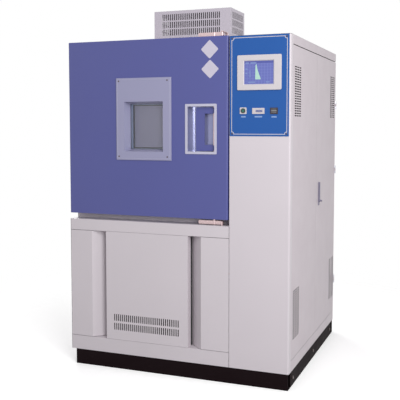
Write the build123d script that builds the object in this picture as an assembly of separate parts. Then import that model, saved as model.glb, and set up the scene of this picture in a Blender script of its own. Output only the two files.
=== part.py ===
from build123d import *
import math
import os

# All sizes are millimetres. X runs from the hinge side to the column side, Y runs from the door to the
# back, Z runs up. The origin is on the floor under the middle of the whole object's box.

# Cabinet
WIDTH = 1230.0
DEPTH = 1110.0
HEIGHT = 1750.0
SHEET = 2.0
LEFT_PROUD = 20.0
RIGHT_PROUD = 20.0
FRONT_PROUD = 10.0
REAR_PROUD = 12.0
LEFT = -(LEFT_PROUD + WIDTH + RIGHT_PROUD) / 2 + LEFT_PROUD
RIGHT = LEFT + WIDTH
FRONT = -(FRONT_PROUD + DEPTH + REAR_PROUD) / 2 + FRONT_PROUD
BACK = FRONT + DEPTH
JOINT_GAP = 0.5
PANEL_SEAM = 2.0
RUN_CLEAR = 0.05

# Plinth
PLINTH_H = 82.0
PLINTH_IN_LEFT = 27.0
PLINTH_IN_RIGHT = 4.0
PLINTH_BAR = 50.0
PLINTH_WALL = 5.0
BOLT_R = 5.0
BOLT_HEAD_R = 9.0
BOLT_HEAD_T = 5.0
BOLT_Y = (90.0, 555.0, 1020.0)
PAN_T = 3.0
PAN_LIP = 25.0
PAN_FRONT_IN = 80.0

# Column with the controls
COLUMN_W = 312.0
COLUMN_CORNER_R = 10.0
COLUMN_POST_W = 40.0
COLUMN_FLANGE = 75.0
COLUMN_X = RIGHT - COLUMN_W
COLUMN_OPEN_IN = 16.0

# Lower front
LEDGE_Z = 804.0
TOP_RAIL_Z = 744.0
BOTTOM_RAIL_Z = 157.5
BAY_SETBACK = 65.0
LEFT_PILASTER_W = 131.0
RIGHT_PILASTER_W = 153.0
PILASTER_SLANT = 75.0
BAY_FLANGE = 30.0

# Access panel
ACCESS_W = 475.0
ACCESS_RIGHT_IN = 538.0
ACCESS_T = 42.0
ACCESS_GAP = 1.0
ACCESS_PIN_R = 4.0
ACCESS_PIN_IN = 14.0
ACCESS_PIN_REACH = 9.0
SLOT_W = 5.5
SLOT_L = 37.0
SLOT_PITCH = 12.0
ACCESS_SLOTS = 32
ACCESS_SLOT_LEFT_IN = 46.0
ACCESS_SLOT_Z = (230.0, 278.5)

# Door
DOOR_GAP = 8.0
DOOR_PROUD_LEFT = 2.0
DOOR_Z0 = 836.0
DOOR_Z1 = 1753.0
DOOR_T = 65.0
DOOR_EDGE_R = 8.0
DOOR_SHEET = 2.0
GASKET_T = 12.0
GASKET_W = 20.0
GASKET_OUT = 30.0
SEAL_GAP = 0.3
DOOR_LEFT = LEFT - DOOR_PROUD_LEFT
DOOR_RIGHT = COLUMN_X - DOOR_GAP
BODY_Y = FRONT + DOOR_T + GASKET_T

# Window
WINDOW_X0 = RIGHT - 942.0
WINDOW_X1 = RIGHT - 626.0
WINDOW_Z0 = 1129.0
WINDOW_Z1 = 1557.0
WINDOW_PROUD = 6.0
OPEN_X0 = RIGHT - 898.0
OPEN_X1 = RIGHT - 670.0
OPEN_Z0 = 1172.0
OPEN_Z1 = 1436.0
SPLAY = 13.0
SPLAY_WALL = 2.5
GLASS_Y = FRONT + 50.0
GLASS_T = 5.0
MIDDLE_PANE_Y = GLASS_Y + 31.0
GLASS_LAP = 8.0
WINDOW_SCREW_IN = 16.0
SCREW_R = 4.0
SCREW_T = 2.0

# Handle
CUP_X0 = RIGHT - 550.0
CUP_X1 = RIGHT - 379.0
CUP_Z0 = 1165.0
CUP_Z1 = 1418.5
CUP_FRAME = 11.0
CUP_PROUD = 3.0
CUP_DEPTH = 46.0
CUP_WALL = 2.0
SHAFT_X = RIGHT - 401.0
SHAFT_Y = FRONT + 25.0
SHAFT_R = 6.0
LEVER_X0 = RIGHT - 498.5
LEVER_X1 = RIGHT - 404.5
LEVER_Z0 = 1181.0
LEVER_Z1 = 1401.0
LEVER_CUT_X = RIGHT - 452.0
LEVER_CUT_Z0 = 1212.0
LEVER_CUT_Z1 = 1369.0
LEVER_Y = FRONT + 18.0
LEVER_T = 6.0
LEVER_R = 9.0
LEVER_EYE = 2.0
LATCH_X0 = RIGHT - 486.0
LATCH_X1 = RIGHT - 352.0
LATCH_H = 19.0
LATCH_Y = FRONT + 20.0
LATCH_T = 14.0
LATCH_LOW_Z = 808.0
LATCH_TOP_Z = 1755.0
KEEPER_R = 4.0
KEEPER_IN = 5.0
KEEPER_GAP = 0.3
KEEPER_HEAD = 3.0
KEEPER_HEAD_T = 4.0
KEEPER_ARM_W = 12.0
KEEPER_ARM_T = 4.0
KEEPER_FOOT = 16.0
BUSH_R = 10.0
BUSH_T = 4.0

# Door hinges
HINGE_R = 9.0
HINGE_PIN_R = 4.0
HINGE_OUT = 11.0
HINGE_X = LEFT - HINGE_OUT
HINGE_Y = BODY_Y - 6.0
HINGE_LEAF_T = 4.0
HINGE_LEAF_L = 58.0
HINGE_H = 120.0
HINGE_Z = (960.0, 1295.0, 1630.0)

# Side door
SIDE_TOP_Z = 1704.0
SIDE_BOTTOM_Z = 139.0
SIDE_SEAM_Y = FRONT + 575.0
SIDE_GAP = 1.5
SIDE_TOP_GAP = 4.0
SIDE_FOLD = 15.0
SIDE_POST_X = RIGHT - 18.0
SIDE_POST_T = 12.0
SIDE_HINGE_R = 5.0
SIDE_HINGE_PIN_R = 2.0
SIDE_HINGE_H = 48.0
SIDE_LEAF_IN = 12.0
SIDE_LEAF_W = 40.0
SIDE_HINGE_Z = (343.0, 1035.0, 1437.0)
SIDE_HINGE_X = RIGHT
SIDE_HINGE_Y = BACK + REAR_PROUD - SIDE_HINGE_R
SIDE_LEAF_T = 2.0
SWING_Y = FRONT + 649.0
SWING_Z0 = 858.0
SWING_Z1 = 990.0
SWING_W = 28.0
SWING_PLATE_T = 3.0
SWING_HUB_R = 8.0
SWING_GRIP_W = 15.0
SWING_GRIP_T = 4.5
SWING_KNOB_R = 5.0
SWING_SHAFT_R = 6.0
SWING_CAM_T = 4.0
SWING_CAM_IN = 10.0
SWING_PIVOT_Z = 884.0
VENT_COLUMNS = 3
VENT_ROWS = 21
VENT_COLUMN_PITCH = 45.0

# Chamber
SIDE_WALL = 114.0
PARTITION_WALL = 124.0
FLOOR_WALL = 100.0
ROOF_WALL = 100.0
CAVITY_DEPTH = 800.0
BACK_WALL = 100.0
LINER_T = 1.5
FRAME_T = 2.0
CAVITY_X0 = LEFT + SIDE_WALL
CAVITY_X1 = COLUMN_X - PARTITION_WALL
CAVITY_Z0 = LEDGE_Z + FLOOR_WALL
CAVITY_Z1 = HEIGHT - ROOF_WALL
CAVITY_Y1 = BODY_Y + CAVITY_DEPTH
PLUG_GAP = 8.0
PLUG_DEPTH = 70.0
BAFFLE_Z = 1500.0
BAFFLE_Y = FRONT + 717.0
BAFFLE_FRONT_Y = FRONT + 150.0
BAFFLE_T = 1.5
BAFFLE_GAP = 1.0
SHELF_Z = (1000.0, 1130.0)
SHELF_ROD = 6.0
SHELF_BAR = 4.0
SHELF_Y0 = FRONT + 150.0
SHELF_Y1 = FRONT + 690.0
RAIL_D = 12.0
RAIL_W = 20.0
NOTCH_H = 11.0
PORT_R = 25.0
PORT_WALL = 3.0
PORT_Y = FRONT + 420.0
PORT_Z = 1250.0
PLUG_CLEAR = 0.1
PLUG_FLANGE_T = 4.0
PLUG_GRIP_T = 14.0

# Fan and motor on the roof
COVER_X0 = RIGHT - 906.0
COVER_X1 = RIGHT - 444.0
COVER_Y0 = FRONT + 400.0
COVER_Y1 = FRONT + 636.0
COVER_Z1 = 1957.0
COVER_SHEET = 1.5
COVER_SLOTS = 30
COVER_SLOT_PITCH = 11.75
COVER_SLOT_L = 35.0
COVER_SLOT_SHIFT = -7.5
COVER_SIDE_SLOTS = 16
COVER_SLOT_Z = (1837.0, 1879.0, 1921.0)
FAN_X = (COVER_X0 + COVER_X1) / 2
FAN_Y = (COVER_Y0 + COVER_Y1) / 2
FAN_SHAFT_R = 8.0
IMPELLER_R = 125.0
IMPELLER_Z0 = 1525.0
IMPELLER_H = 80.0
IMPELLER_BLADES = 12
SLEEVE_R = 17.0
MOTOR_R = 70.0

# Control panel
PANEL_X0 = RIGHT - 310.0
PANEL_X1 = RIGHT - 9.0
PANEL_Z0 = 1257.0
PANEL_Z1 = 1748.0
PANEL_T = 2.0
BEZEL_X0 = RIGHT - 270.0
BEZEL_X1 = RIGHT - 46.0
BEZEL_Z0 = 1482.0
BEZEL_Z1 = 1652.5
BEZEL_T = 8.0
LCD_X0 = RIGHT - 234.0
LCD_X1 = RIGHT - 86.0
LCD_Z0 = 1511.0
LCD_Z1 = 1623.0
LCD_T = 3.0
LCD_LAP = 2.0
BUTTON_X = RIGHT - 239.25
BUTTON_Z = 1382.0
BUTTON_W = 34.5
BUTTON_H = 32.0
BUTTON_R = 12.0
BUTTON_TRAVEL = 3.0
BUTTON_T = 4.0
METER_X0 = RIGHT - 193.0
METER_X1 = RIGHT - 131.0
METER_Z0 = 1366.0
METER_Z1 = 1395.0
LIMIT_X0 = RIGHT - 102.0
LIMIT_X1 = RIGHT - 64.0
LIMIT_Z0 = 1365.0
LIMIT_Z1 = 1396.0
DEVICE_PROUD = 3.0
PANEL_SCREW_IN = 12.0

# Machine bay
COMPRESSOR_X = -160.0
COMPRESSOR_Y = FRONT + 480.0
COMPRESSOR_R = 105.0
COMPRESSOR_H = 270.0
COMPRESSOR_WALL = 5.0
PUMP_R = 68.0
PUMP_H = 170.0
COIL_X0 = -330.0
COIL_X1 = 150.0
COIL_Z0 = 110.0
COIL_Z1 = 540.0
COIL_Y1 = BACK - 30.0
COIL_D = 80.0
COIL_FINS = 24
OUTLET_ROWS = 16
OUTLET_PITCH = 24.0
OUTLET_SLOT = 12.0
SHROUD_T = 30.0
ROTOR_R = 165.0
ROTOR_CLEAR = 8.0
PIPE_R = 6.0
RECEIVER_X = 330.0
RECEIVER_Y = BACK - 200.0
RECEIVER_R = 45.0
RISER_Y = CAVITY_Y1 + BACK_WALL + 30
LIQUID_X = COIL_X1 + 45
HOT_X = COIL_X1 + 75
GLAND_X = 420.0
GLAND_Z = 240.0
GLAND_BORE_R = 9.0


def block(x0, x1, y0, y1, z0, z1):
    """Solid box between the given limits."""
    size = Box(x1 - x0, y1 - y0, z1 - z0)
    return Pos((x0 + x1) / 2, (y0 + y1) / 2, (z0 + z1) / 2) * size


def rod_z(x, y, z0, z1, radius):
    """Upright round bar."""
    return Pos(x, y, (z0 + z1) / 2) * Cylinder(radius, z1 - z0)


def rod_x(x0, x1, y, z, radius):
    """Round bar along X."""
    return Pos((x0 + x1) / 2, y, z) * Rot(0, 90, 0) * Cylinder(radius, x1 - x0)


def rod_y(x, y0, y1, z, radius):
    """Round bar along Y."""
    return Pos(x, (y0 + y1) / 2, z) * Rot(90, 0, 0) * Cylinder(radius, y1 - y0)


def area(x0, x1, y0, y1):
    """Flat rectangle between the given limits, for a sketch."""
    return Pos((x0 + x1) / 2, (y0 + y1) / 2) * Rectangle(x1 - x0, y1 - y0)


def front_sheet(sketch, y0, thick):
    """Extrudes a sketch of X and Z so that it fills y0 to y0 + thick."""
    return extrude(Plane.XZ.offset(-(y0 + thick)) * sketch, thick)


def side_sheet(sketch, x0, thick):
    """Extrudes a sketch of Y and Z so that it fills x0 to x0 + thick."""
    return extrude(Plane.YZ.offset(x0) * sketch, thick)


def flat_sheet(sketch, z0, thick):
    """Extrudes a sketch of X and Y so that it fills z0 to z0 + thick."""
    return extrude(Plane.XY.offset(z0) * sketch, thick)


def strip(points, thick):
    """Folded sheet section: the open line through points, thickened on its left side."""
    count = len(points)
    normals = []
    for i in range(count - 1):
        dx = points[i + 1][0] - points[i][0]
        dy = points[i + 1][1] - points[i][1]
        length = math.hypot(dx, dy)
        normals.append((-dy / length, dx / length))
    inner = []
    for i in range(count):
        first = normals[max(i - 1, 0)]
        second = normals[min(i, count - 2)]
        sum_x = first[0] + second[0]
        sum_y = first[1] + second[1]
        scale = thick / (1 + first[0] * second[0] + first[1] * second[1])
        inner.append((points[i][0] + sum_x * scale, points[i][1] + sum_y * scale))
    return make_face(Polyline(*points, *reversed(inner), close=True))


def ring_blocks(x0, x1, y0, y1, z0, z1, left, right, low, high):
    """Four butt-jointed bars round an upright opening, as separate solids."""
    return [
        block(x0, x1, y0, y1, z0, z0 + low),
        block(x0, x1, y0, y1, z1 - high, z1),
        block(x0, x0 + left, y0, y1, z0 + low, z1 - high),
        block(x1 - right, x1, y0, y1, z0 + low, z1 - high),
    ]


def hex_x(x0, x1, y, z, radius):
    """Hexagon bar along X."""
    return side_sheet(Pos(y, z) * RegularPolygon(radius, 6), x0, x1 - x0)


def base_plinth():
    """Four steel channels under the cabinet, with a gap inside them."""
    x0 = LEFT + PLINTH_IN_LEFT
    x1 = RIGHT - PLINTH_IN_RIGHT
    wall = PLINTH_WALL
    bar = PLINTH_BAR
    front = block(x0, x1, FRONT, FRONT + bar, 0, PLINTH_H)
    front -= block(x0, x1, FRONT + wall, FRONT + bar, wall, PLINTH_H - wall)
    rear = block(x0, x1, BACK - bar, BACK, 0, PLINTH_H)
    rear -= block(x0, x1, BACK - bar, BACK - wall, wall, PLINTH_H - wall)
    left = block(x0, x0 + bar, FRONT + bar, BACK - bar, 0, PLINTH_H)
    left -= block(x0 + wall, x0 + bar, FRONT + bar, BACK - bar, wall, PLINTH_H - wall)
    right = block(x1 - bar, x1, FRONT + bar, BACK - bar, 0, PLINTH_H)
    right -= block(x1 - bar, x1 - wall, FRONT + bar, BACK - bar, wall, PLINTH_H - wall)
    for offset in BOLT_Y:
        hole_y = FRONT + offset
        left -= rod_x(x0 - 1, x0 + wall + 1, hole_y, PLINTH_H / 2, BOLT_R + RUN_CLEAR)
        right -= rod_x(x1 - wall - 1, x1 + 1, hole_y, PLINTH_H / 2, BOLT_R + RUN_CLEAR)
    return Compound(children=[front, rear, left, right])


def plinth_bolts():
    """Hexagon bolts through the side channels of the plinth."""
    x0 = LEFT + PLINTH_IN_LEFT
    x1 = RIGHT - PLINTH_IN_RIGHT
    bolts = []
    for offset in BOLT_Y:
        y = FRONT + offset
        z = PLINTH_H / 2
        right = hex_x(x1, x1 + BOLT_HEAD_T, y, z, BOLT_HEAD_R)
        right += rod_x(x1 - PLINTH_WALL - 8, x1, y, z, BOLT_R)
        left = hex_x(x0 - BOLT_HEAD_T, x0, y, z, BOLT_HEAD_R)
        left += rod_x(x0, x0 + PLINTH_WALL + 8, y, z, BOLT_R)
        bolts += [right, left]
    return Compound(children=bolts)


def base_pan():
    """Folded floor of the machine bay, lying on the plinth."""
    x0 = LEFT + SHEET
    x1 = SIDE_POST_X - SIDE_POST_T - JOINT_GAP
    y0 = FRONT + PAN_FRONT_IN
    y1 = BACK - SHEET
    top = PLINTH_H + PAN_LIP
    pan = block(x0, x1, y0, y1, PLINTH_H, top)
    return pan - block(x0 + PAN_T, x1 - PAN_T, y0 + PAN_T, y1 - PAN_T, PLINTH_H + PAN_T, top)


def left_side_panel():
    """Whole left side, set back behind the door above the ledge, with the cable port tube welded in."""
    outline = area(FRONT, BACK, PLINTH_H, LEDGE_Z) + area(BODY_Y, BACK, LEDGE_Z, HEIGHT)
    panel = side_sheet(outline, LEFT, SHEET)
    panel += rod_x(LEFT, CAVITY_X0 - LINER_T, PORT_Y, PORT_Z, PORT_R + PORT_WALL)
    return panel - rod_x(LEFT - 1, CAVITY_X0, PORT_Y, PORT_Z, PORT_R)


def rear_panel():
    """Back sheet, with the condenser outlet slots and the hole for the power gland."""
    x0 = LEFT + SHEET
    outline = area(x0, SIDE_POST_X, PLINTH_H, HEIGHT - SHEET)
    middle = (COIL_X0 + COIL_X1) / 2
    slots = []
    for row in range(OUTLET_ROWS):
        z = COIL_Z0 + 35 + row * OUTLET_PITCH
        slots.append(area(COIL_X0 + 30, middle - 12, z, z + OUTLET_SLOT))
        slots.append(area(middle + 12, COIL_X1 - 30, z, z + OUTLET_SLOT))
    outline -= slots
    outline -= Pos(GLAND_X, GLAND_Z) * Circle(GLAND_BORE_R + 4)
    return front_sheet(outline, BACK - SHEET, SHEET)


def roof_panel():
    """Roof sheet: set back over the chamber, full depth over the column."""
    outline = area(LEFT + SHEET, COLUMN_X, BODY_Y, BACK) + area(COLUMN_X, RIGHT, FRONT, BACK)
    corner = Pos(RIGHT - COLUMN_CORNER_R, FRONT + COLUMN_CORNER_R) * Circle(COLUMN_CORNER_R)
    outline -= area(RIGHT - COLUMN_CORNER_R, RIGHT, FRONT, FRONT + COLUMN_CORNER_R) - corner
    outline -= Pos(FAN_X, FAN_Y) * Circle(SLEEVE_R)
    return flat_sheet(outline, HEIGHT - SHEET, SHEET)


def column_shell():
    """Folded front of the column: inner flange, front face, rounded corner and front post."""
    path = [
        (RIGHT, FRONT + COLUMN_POST_W),
        (RIGHT, FRONT),
        (COLUMN_X, FRONT),
        (COLUMN_X, FRONT + COLUMN_FLANGE),
    ]
    section = strip(list(reversed(path)), SHEET)
    shell = extrude(Plane.XY.offset(PLINTH_H) * section, HEIGHT - SHEET - PLINTH_H)
    inner = [e for e in shell.edges().filter_by(Axis.Z) if abs(e.center().X - RIGHT + SHEET) < 0.01]
    inner = [e for e in inner if abs(e.center().Y - FRONT - SHEET) < 0.01]
    shell = fillet(inner, COLUMN_CORNER_R - SHEET)
    outer = [e for e in shell.edges().filter_by(Axis.Z) if abs(e.center().X - RIGHT) < 0.01]
    outer = [e for e in outer if abs(e.center().Y - FRONT) < 0.01]
    shell = fillet(outer, COLUMN_CORNER_R)
    cut = COLUMN_OPEN_IN
    shell -= block(
        PANEL_X0 + cut, PANEL_X1 - cut, FRONT - 1, FRONT + SHEET + 1, PANEL_Z0 + cut, PANEL_Z1 - cut
    )
    return shell


def chamber_case():
    """One folded sheet: the deck under the insulated chamber and the wall next to the column."""
    path = [
        (LEFT + SHEET, LEDGE_Z - SHEET),
        (COLUMN_X, LEDGE_Z - SHEET),
        (COLUMN_X, HEIGHT - SHEET),
    ]
    section = strip(path, SHEET)
    case = front_sheet(section, BODY_Y, BACK - SHEET - BODY_Y)
    for x in (pipe_holes()[0], LIQUID_X):
        case -= rod_z(x, RISER_Y, LEDGE_Z - SHEET - 1, LEDGE_Z + 1, PIPE_R + 3)
    return case


def channel_y(z0, z1, fold):
    """Channel along the right side, open towards the inside."""
    band = block(RIGHT - fold, RIGHT, FRONT + COLUMN_POST_W, BACK - SHEET, z0, z1)
    return band - block(
        RIGHT - fold, RIGHT - SHEET, FRONT + COLUMN_POST_W, BACK - SHEET, z0 + SHEET, z1 - SHEET
    )


def side_frame():
    """Right side frame: top and bottom bands with a middle and a rear post set behind the panels."""
    fold = RIGHT - SIDE_POST_X + SIDE_POST_T
    top = channel_y(SIDE_TOP_Z, HEIGHT - SHEET, fold)
    low = channel_y(PLINTH_H, SIDE_BOTTOM_Z, fold)
    x0 = SIDE_POST_X - SIDE_POST_T
    middle = block(x0, SIDE_POST_X, SIDE_SEAM_Y - 25, SIDE_SEAM_Y + 25, SIDE_BOTTOM_Z, SIDE_TOP_Z)
    rear = block(x0, SIDE_POST_X, BACK - SHEET - 25, BACK - SHEET, SIDE_BOTTOM_Z, SIDE_TOP_Z)
    return Compound(children=[top, low, middle, rear])


def vent_slots(y0, z0):
    """Sketch of one vent: columns of level slots, with its lower front corner at y0 and z0."""
    slots = []
    for column in range(VENT_COLUMNS):
        y = y0 + column * VENT_COLUMN_PITCH
        for row in range(VENT_ROWS):
            z = z0 + row * SLOT_PITCH
            slots.append(area(y, y + SLOT_L, z, z + SLOT_W))
    return slots


def side_tray(y0, y1, slots):
    """Side sheet with its four edges folded inwards and vents cut in its face."""
    z0 = SIDE_BOTTOM_Z + SIDE_GAP
    z1 = SIDE_TOP_Z - SIDE_TOP_GAP
    face = side_sheet(area(y0, y1, z0, z1) - slots, RIGHT - SHEET, SHEET)
    rim = side_sheet(
        area(y0, y1, z0, z1) - area(y0 + SHEET, y1 - SHEET, z0 + SHEET, z1 - SHEET),
        RIGHT - SIDE_FOLD,
        SIDE_FOLD - SHEET,
    )
    return face + rim


def side_panel():
    """Fixed front half of the right side."""
    y0 = FRONT + COLUMN_POST_W + SIDE_GAP
    slots = vent_slots(FRONT + 77, 1355) + vent_slots(FRONT + 72, 239)
    return side_tray(y0, SIDE_SEAM_Y - SIDE_GAP / 2, slots)


def side_door():
    """Hinged rear half of the right side, with its hinge leaves and middle knuckles welded on."""
    slots = vent_slots(FRONT + 948, 1359) + vent_slots(FRONT + 968, 244)
    panel = side_tray(SIDE_SEAM_Y + SIDE_GAP / 2, BACK - 1.5, slots)
    bore = rod_x(RIGHT - SHEET - 1, RIGHT + 1, SWING_Y, SWING_PIVOT_Z, SWING_SHAFT_R + RUN_CLEAR)
    half = SIDE_HINGE_H / 6 - JOINT_GAP
    for z in SIDE_HINGE_Z:
        leaf = block(RIGHT, RIGHT + SIDE_LEAF_T, BACK - SIDE_LEAF_IN, SIDE_HINGE_Y, z - half, z + half)
        leaf += rod_z(SIDE_HINGE_X, SIDE_HINGE_Y, z - half, z + half, SIDE_HINGE_R)
        leaf -= rod_z(SIDE_HINGE_X, SIDE_HINGE_Y, z - 20, z + 20, SIDE_HINGE_PIN_R + RUN_CLEAR)
        panel += leaf
    return panel - bore


def side_hinge_body():
    """Rear hinge leaves on the back sheet, each with two knuckles and the pin through them."""
    leaves = []
    third = SIDE_HINGE_H / 3
    for z in SIDE_HINGE_Z:
        leaf = block(
            RIGHT - SIDE_LEAF_W, SIDE_HINGE_X, BACK, BACK + SIDE_LEAF_T, z - third * 1.5, z + third * 1.5
        )
        leaf += rod_z(SIDE_HINGE_X, SIDE_HINGE_Y, z - third * 1.5, z + third * 1.5, SIDE_HINGE_R)
        gap = block(
            SIDE_HINGE_X - SIDE_HINGE_R - 2,
            SIDE_HINGE_X + SIDE_HINGE_R + 2,
            BACK - 1,
            BACK + REAR_PROUD + 1,
            z - third / 2 - JOINT_GAP,
            z + third / 2 + JOINT_GAP,
        )
        leaf -= gap
        half = third * 1.5
        leaf += rod_z(SIDE_HINGE_X, SIDE_HINGE_Y, z - half, z + half, SIDE_HINGE_PIN_R)
        leaves.append(leaf)
    return Compound(children=leaves)


def side_handle_plate():
    """Escutcheon of the side door's swing handle."""
    plate = side_sheet(
        Pos(SWING_Y, (SWING_Z0 + SWING_Z1) / 2)
        * RectangleRounded(SWING_W, SWING_Z1 - SWING_Z0, 6),
        RIGHT,
        SWING_PLATE_T,
    )
    bore_r = SWING_SHAFT_R + RUN_CLEAR
    return plate - rod_x(RIGHT - 1, RIGHT + SWING_PLATE_T + 1, SWING_Y, SWING_PIVOT_Z, bore_r)


def side_handle_lever():
    """Turning grip of the side door, with its spindle and inner cam."""
    x0 = RIGHT + SWING_PLATE_T + JOINT_GAP
    y = SWING_Y
    z = SWING_PIVOT_Z
    top = SWING_Z1 - 8
    lever = side_sheet(Pos(y, z) * Circle(SWING_HUB_R), x0, SWING_GRIP_T + 1)
    grip = Pos(y, (z + top) / 2) * RectangleRounded(SWING_GRIP_W, top - z + SWING_GRIP_W, 6)
    bar = side_sheet(grip, x0, SWING_GRIP_T)
    rim = [e for e in bar.edges() if e.center().X > x0 + SWING_GRIP_T - 0.01]
    lever += fillet(rim, 1.5)
    knob_x = RIGHT + RIGHT_PROUD
    lever += rod_x(x0, knob_x, y, z, SWING_KNOB_R)
    inner_x = RIGHT - SHEET - SWING_CAM_IN
    lever += rod_x(inner_x, x0 + 1, y, z, SWING_SHAFT_R)
    cam = block(inner_x, inner_x + SWING_CAM_T, y - 8, y + 8, z - 10, z + 34)
    return lever + cam


def front_top_rail():
    """Folded rail over the access panel, with the ledge in front of the chamber."""
    path = [
        (FRONT + BAY_SETBACK, TOP_RAIL_Z),
        (FRONT, TOP_RAIL_Z),
        (FRONT, LEDGE_Z),
        (BODY_Y, LEDGE_Z),
    ]
    length = COLUMN_X - PANEL_SEAM - LEFT - SHEET
    rail = side_sheet(strip(list(reversed(path)), SHEET), LEFT + SHEET, length)
    x = access_left() + ACCESS_PIN_IN
    y = FRONT + ACCESS_PIN_IN
    rail -= rod_z(x, y, TOP_RAIL_Z - 2, TOP_RAIL_Z + SHEET + 2, ACCESS_PIN_R + RUN_CLEAR)
    pin_x = LATCH_X1 - KEEPER_IN
    return rail - rod_z(pin_x, keeper_y(), LEDGE_Z - SHEET - 1, LEDGE_Z + 1, KEEPER_R)


def front_bottom_rail():
    """Folded rail under the access panel."""
    path = [
        (FRONT + BAY_SETBACK, PLINTH_H),
        (FRONT, PLINTH_H),
        (FRONT, BOTTOM_RAIL_Z),
        (FRONT + BAY_SETBACK, BOTTOM_RAIL_Z),
    ]
    length = COLUMN_X - PANEL_SEAM - LEFT - SHEET
    rail = side_sheet(strip(list(reversed(path)), SHEET), LEFT + SHEET, length)
    x = access_left() + ACCESS_PIN_IN
    y = FRONT + ACCESS_PIN_IN
    return rail - rod_z(x, y, BOTTOM_RAIL_Z - SHEET - 2, BOTTOM_RAIL_Z + 2, ACCESS_PIN_R + RUN_CLEAR)


def bay_surround():
    """Folded sheets left and right of the access panel, each slanting back to a bay flange."""
    back = FRONT + BAY_SETBACK
    left = [
        (LEFT + SHEET, FRONT),
        (LEFT + LEFT_PILASTER_W, FRONT),
        (LEFT + LEFT_PILASTER_W + PILASTER_SLANT, back),
        (LEFT + LEFT_PILASTER_W + PILASTER_SLANT + BAY_FLANGE, back),
    ]
    right = [
        (COLUMN_X - RIGHT_PILASTER_W - PILASTER_SLANT - BAY_FLANGE, back),
        (COLUMN_X - RIGHT_PILASTER_W - PILASTER_SLANT, back),
        (COLUMN_X - RIGHT_PILASTER_W, FRONT),
        (COLUMN_X - PANEL_SEAM, FRONT),
    ]
    z0 = BOTTOM_RAIL_Z + PANEL_SEAM
    height = TOP_RAIL_Z - PANEL_SEAM - z0
    sheets = [flat_sheet(strip(path, SHEET), z0, height) for path in (left, right)]
    return Compound(children=sheets)


def access_left():
    """X of the access panel's left edge."""
    return RIGHT - ACCESS_RIGHT_IN - ACCESS_W


def access_panel():
    """Lower front panel: a folded tray with two rows of air slots and a pivot pin at each end."""
    x0 = access_left()
    x1 = x0 + ACCESS_W
    z0 = BOTTOM_RAIL_Z + ACCESS_GAP
    z1 = TOP_RAIL_Z - ACCESS_GAP
    slots = []
    for z in ACCESS_SLOT_Z:
        for i in range(ACCESS_SLOTS):
            x = x0 + ACCESS_SLOT_LEFT_IN + i * SLOT_PITCH
            slots.append(area(x, x + SLOT_W, z - SLOT_L / 2, z + SLOT_L / 2))
    face = front_sheet(area(x0, x1, z0, z1) - slots, FRONT, SHEET)
    rim = area(x0, x1, z0, z1) - area(x0 + SHEET, x1 - SHEET, z0 + SHEET, z1 - SHEET)
    panel = face + front_sheet(rim, FRONT + SHEET, ACCESS_T - SHEET)
    x = x0 + ACCESS_PIN_IN
    y = FRONT + ACCESS_PIN_IN
    panel += rod_z(x, y, z0 - ACCESS_PIN_REACH, z0 + 14, ACCESS_PIN_R)
    return panel + rod_z(x, y, z1 - 14, z1 + ACCESS_PIN_REACH, ACCESS_PIN_R)


def body_front_frame():
    """Stainless front of the chamber body, round the chamber mouth."""
    x0 = LEFT + SHEET
    x1 = COLUMN_X - SHEET
    z1 = HEIGHT - SHEET
    bars = ring_blocks(
        x0,
        x1,
        BODY_Y,
        BODY_Y + FRAME_T,
        LEDGE_Z,
        z1,
        CAVITY_X0 - x0,
        x1 - CAVITY_X1,
        CAVITY_Z0 - LEDGE_Z,
        z1 - CAVITY_Z1,
    )
    return Compound(children=bars)


def chamber_liner():
    """Stainless box that makes the chamber, open at the front, with four notched shelf rails."""
    wall = LINER_T
    y0 = BODY_Y + FRAME_T
    liner = block(
        CAVITY_X0 - wall, CAVITY_X1 + wall, y0, CAVITY_Y1 + wall, CAVITY_Z0 - wall, CAVITY_Z1 + wall
    )
    liner -= block(CAVITY_X0, CAVITY_X1, y0 - 1, CAVITY_Y1, CAVITY_Z0, CAVITY_Z1)
    liner -= rod_z(FAN_X, FAN_Y, CAVITY_Z1 - 5, CAVITY_Z1 + 5, FAN_SHAFT_R + 4)
    liner -= rod_x(CAVITY_X0 - 5, CAVITY_X0 + 5, PORT_Y, PORT_Z, PORT_R)
    for x in pipe_holes():
        liner -= rod_y(x, CAVITY_Y1 - 5, CAVITY_Y1 + 5, CAVITY_Z0 + 90, PIPE_R + 1)
    return liner + shelf_rails()


def shelf_rails():
    """Four upright notched rails welded to the chamber's side walls."""
    rails = []
    top = BAFFLE_Z - 60
    for side in (-1, 1):
        wall = CAVITY_X0 if side < 0 else CAVITY_X1
        x0 = min(wall, wall - side * RAIL_D)
        for y in (SHELF_Y0 + 40, SHELF_Y1 - 60):
            rail = block(x0, x0 + RAIL_D, y, y + RAIL_W, CAVITY_Z0 + 20, top)
            for z in SHELF_Z:
                notch = block(x0 - 1, x0 + RAIL_D + 1, y - 1, y + RAIL_W + 1, z, z + NOTCH_H)
                keep = block(wall - 2, wall + 2, y - 2, y + RAIL_W + 2, z - 1, z + NOTCH_H + 1)
                rail -= notch - keep
            rails.append(rail)
    return rails


def pipe_holes():
    """X of the two refrigerant pipes through the back of the chamber."""
    return (CAVITY_X1 - 90, CAVITY_X1 - 50)


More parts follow.
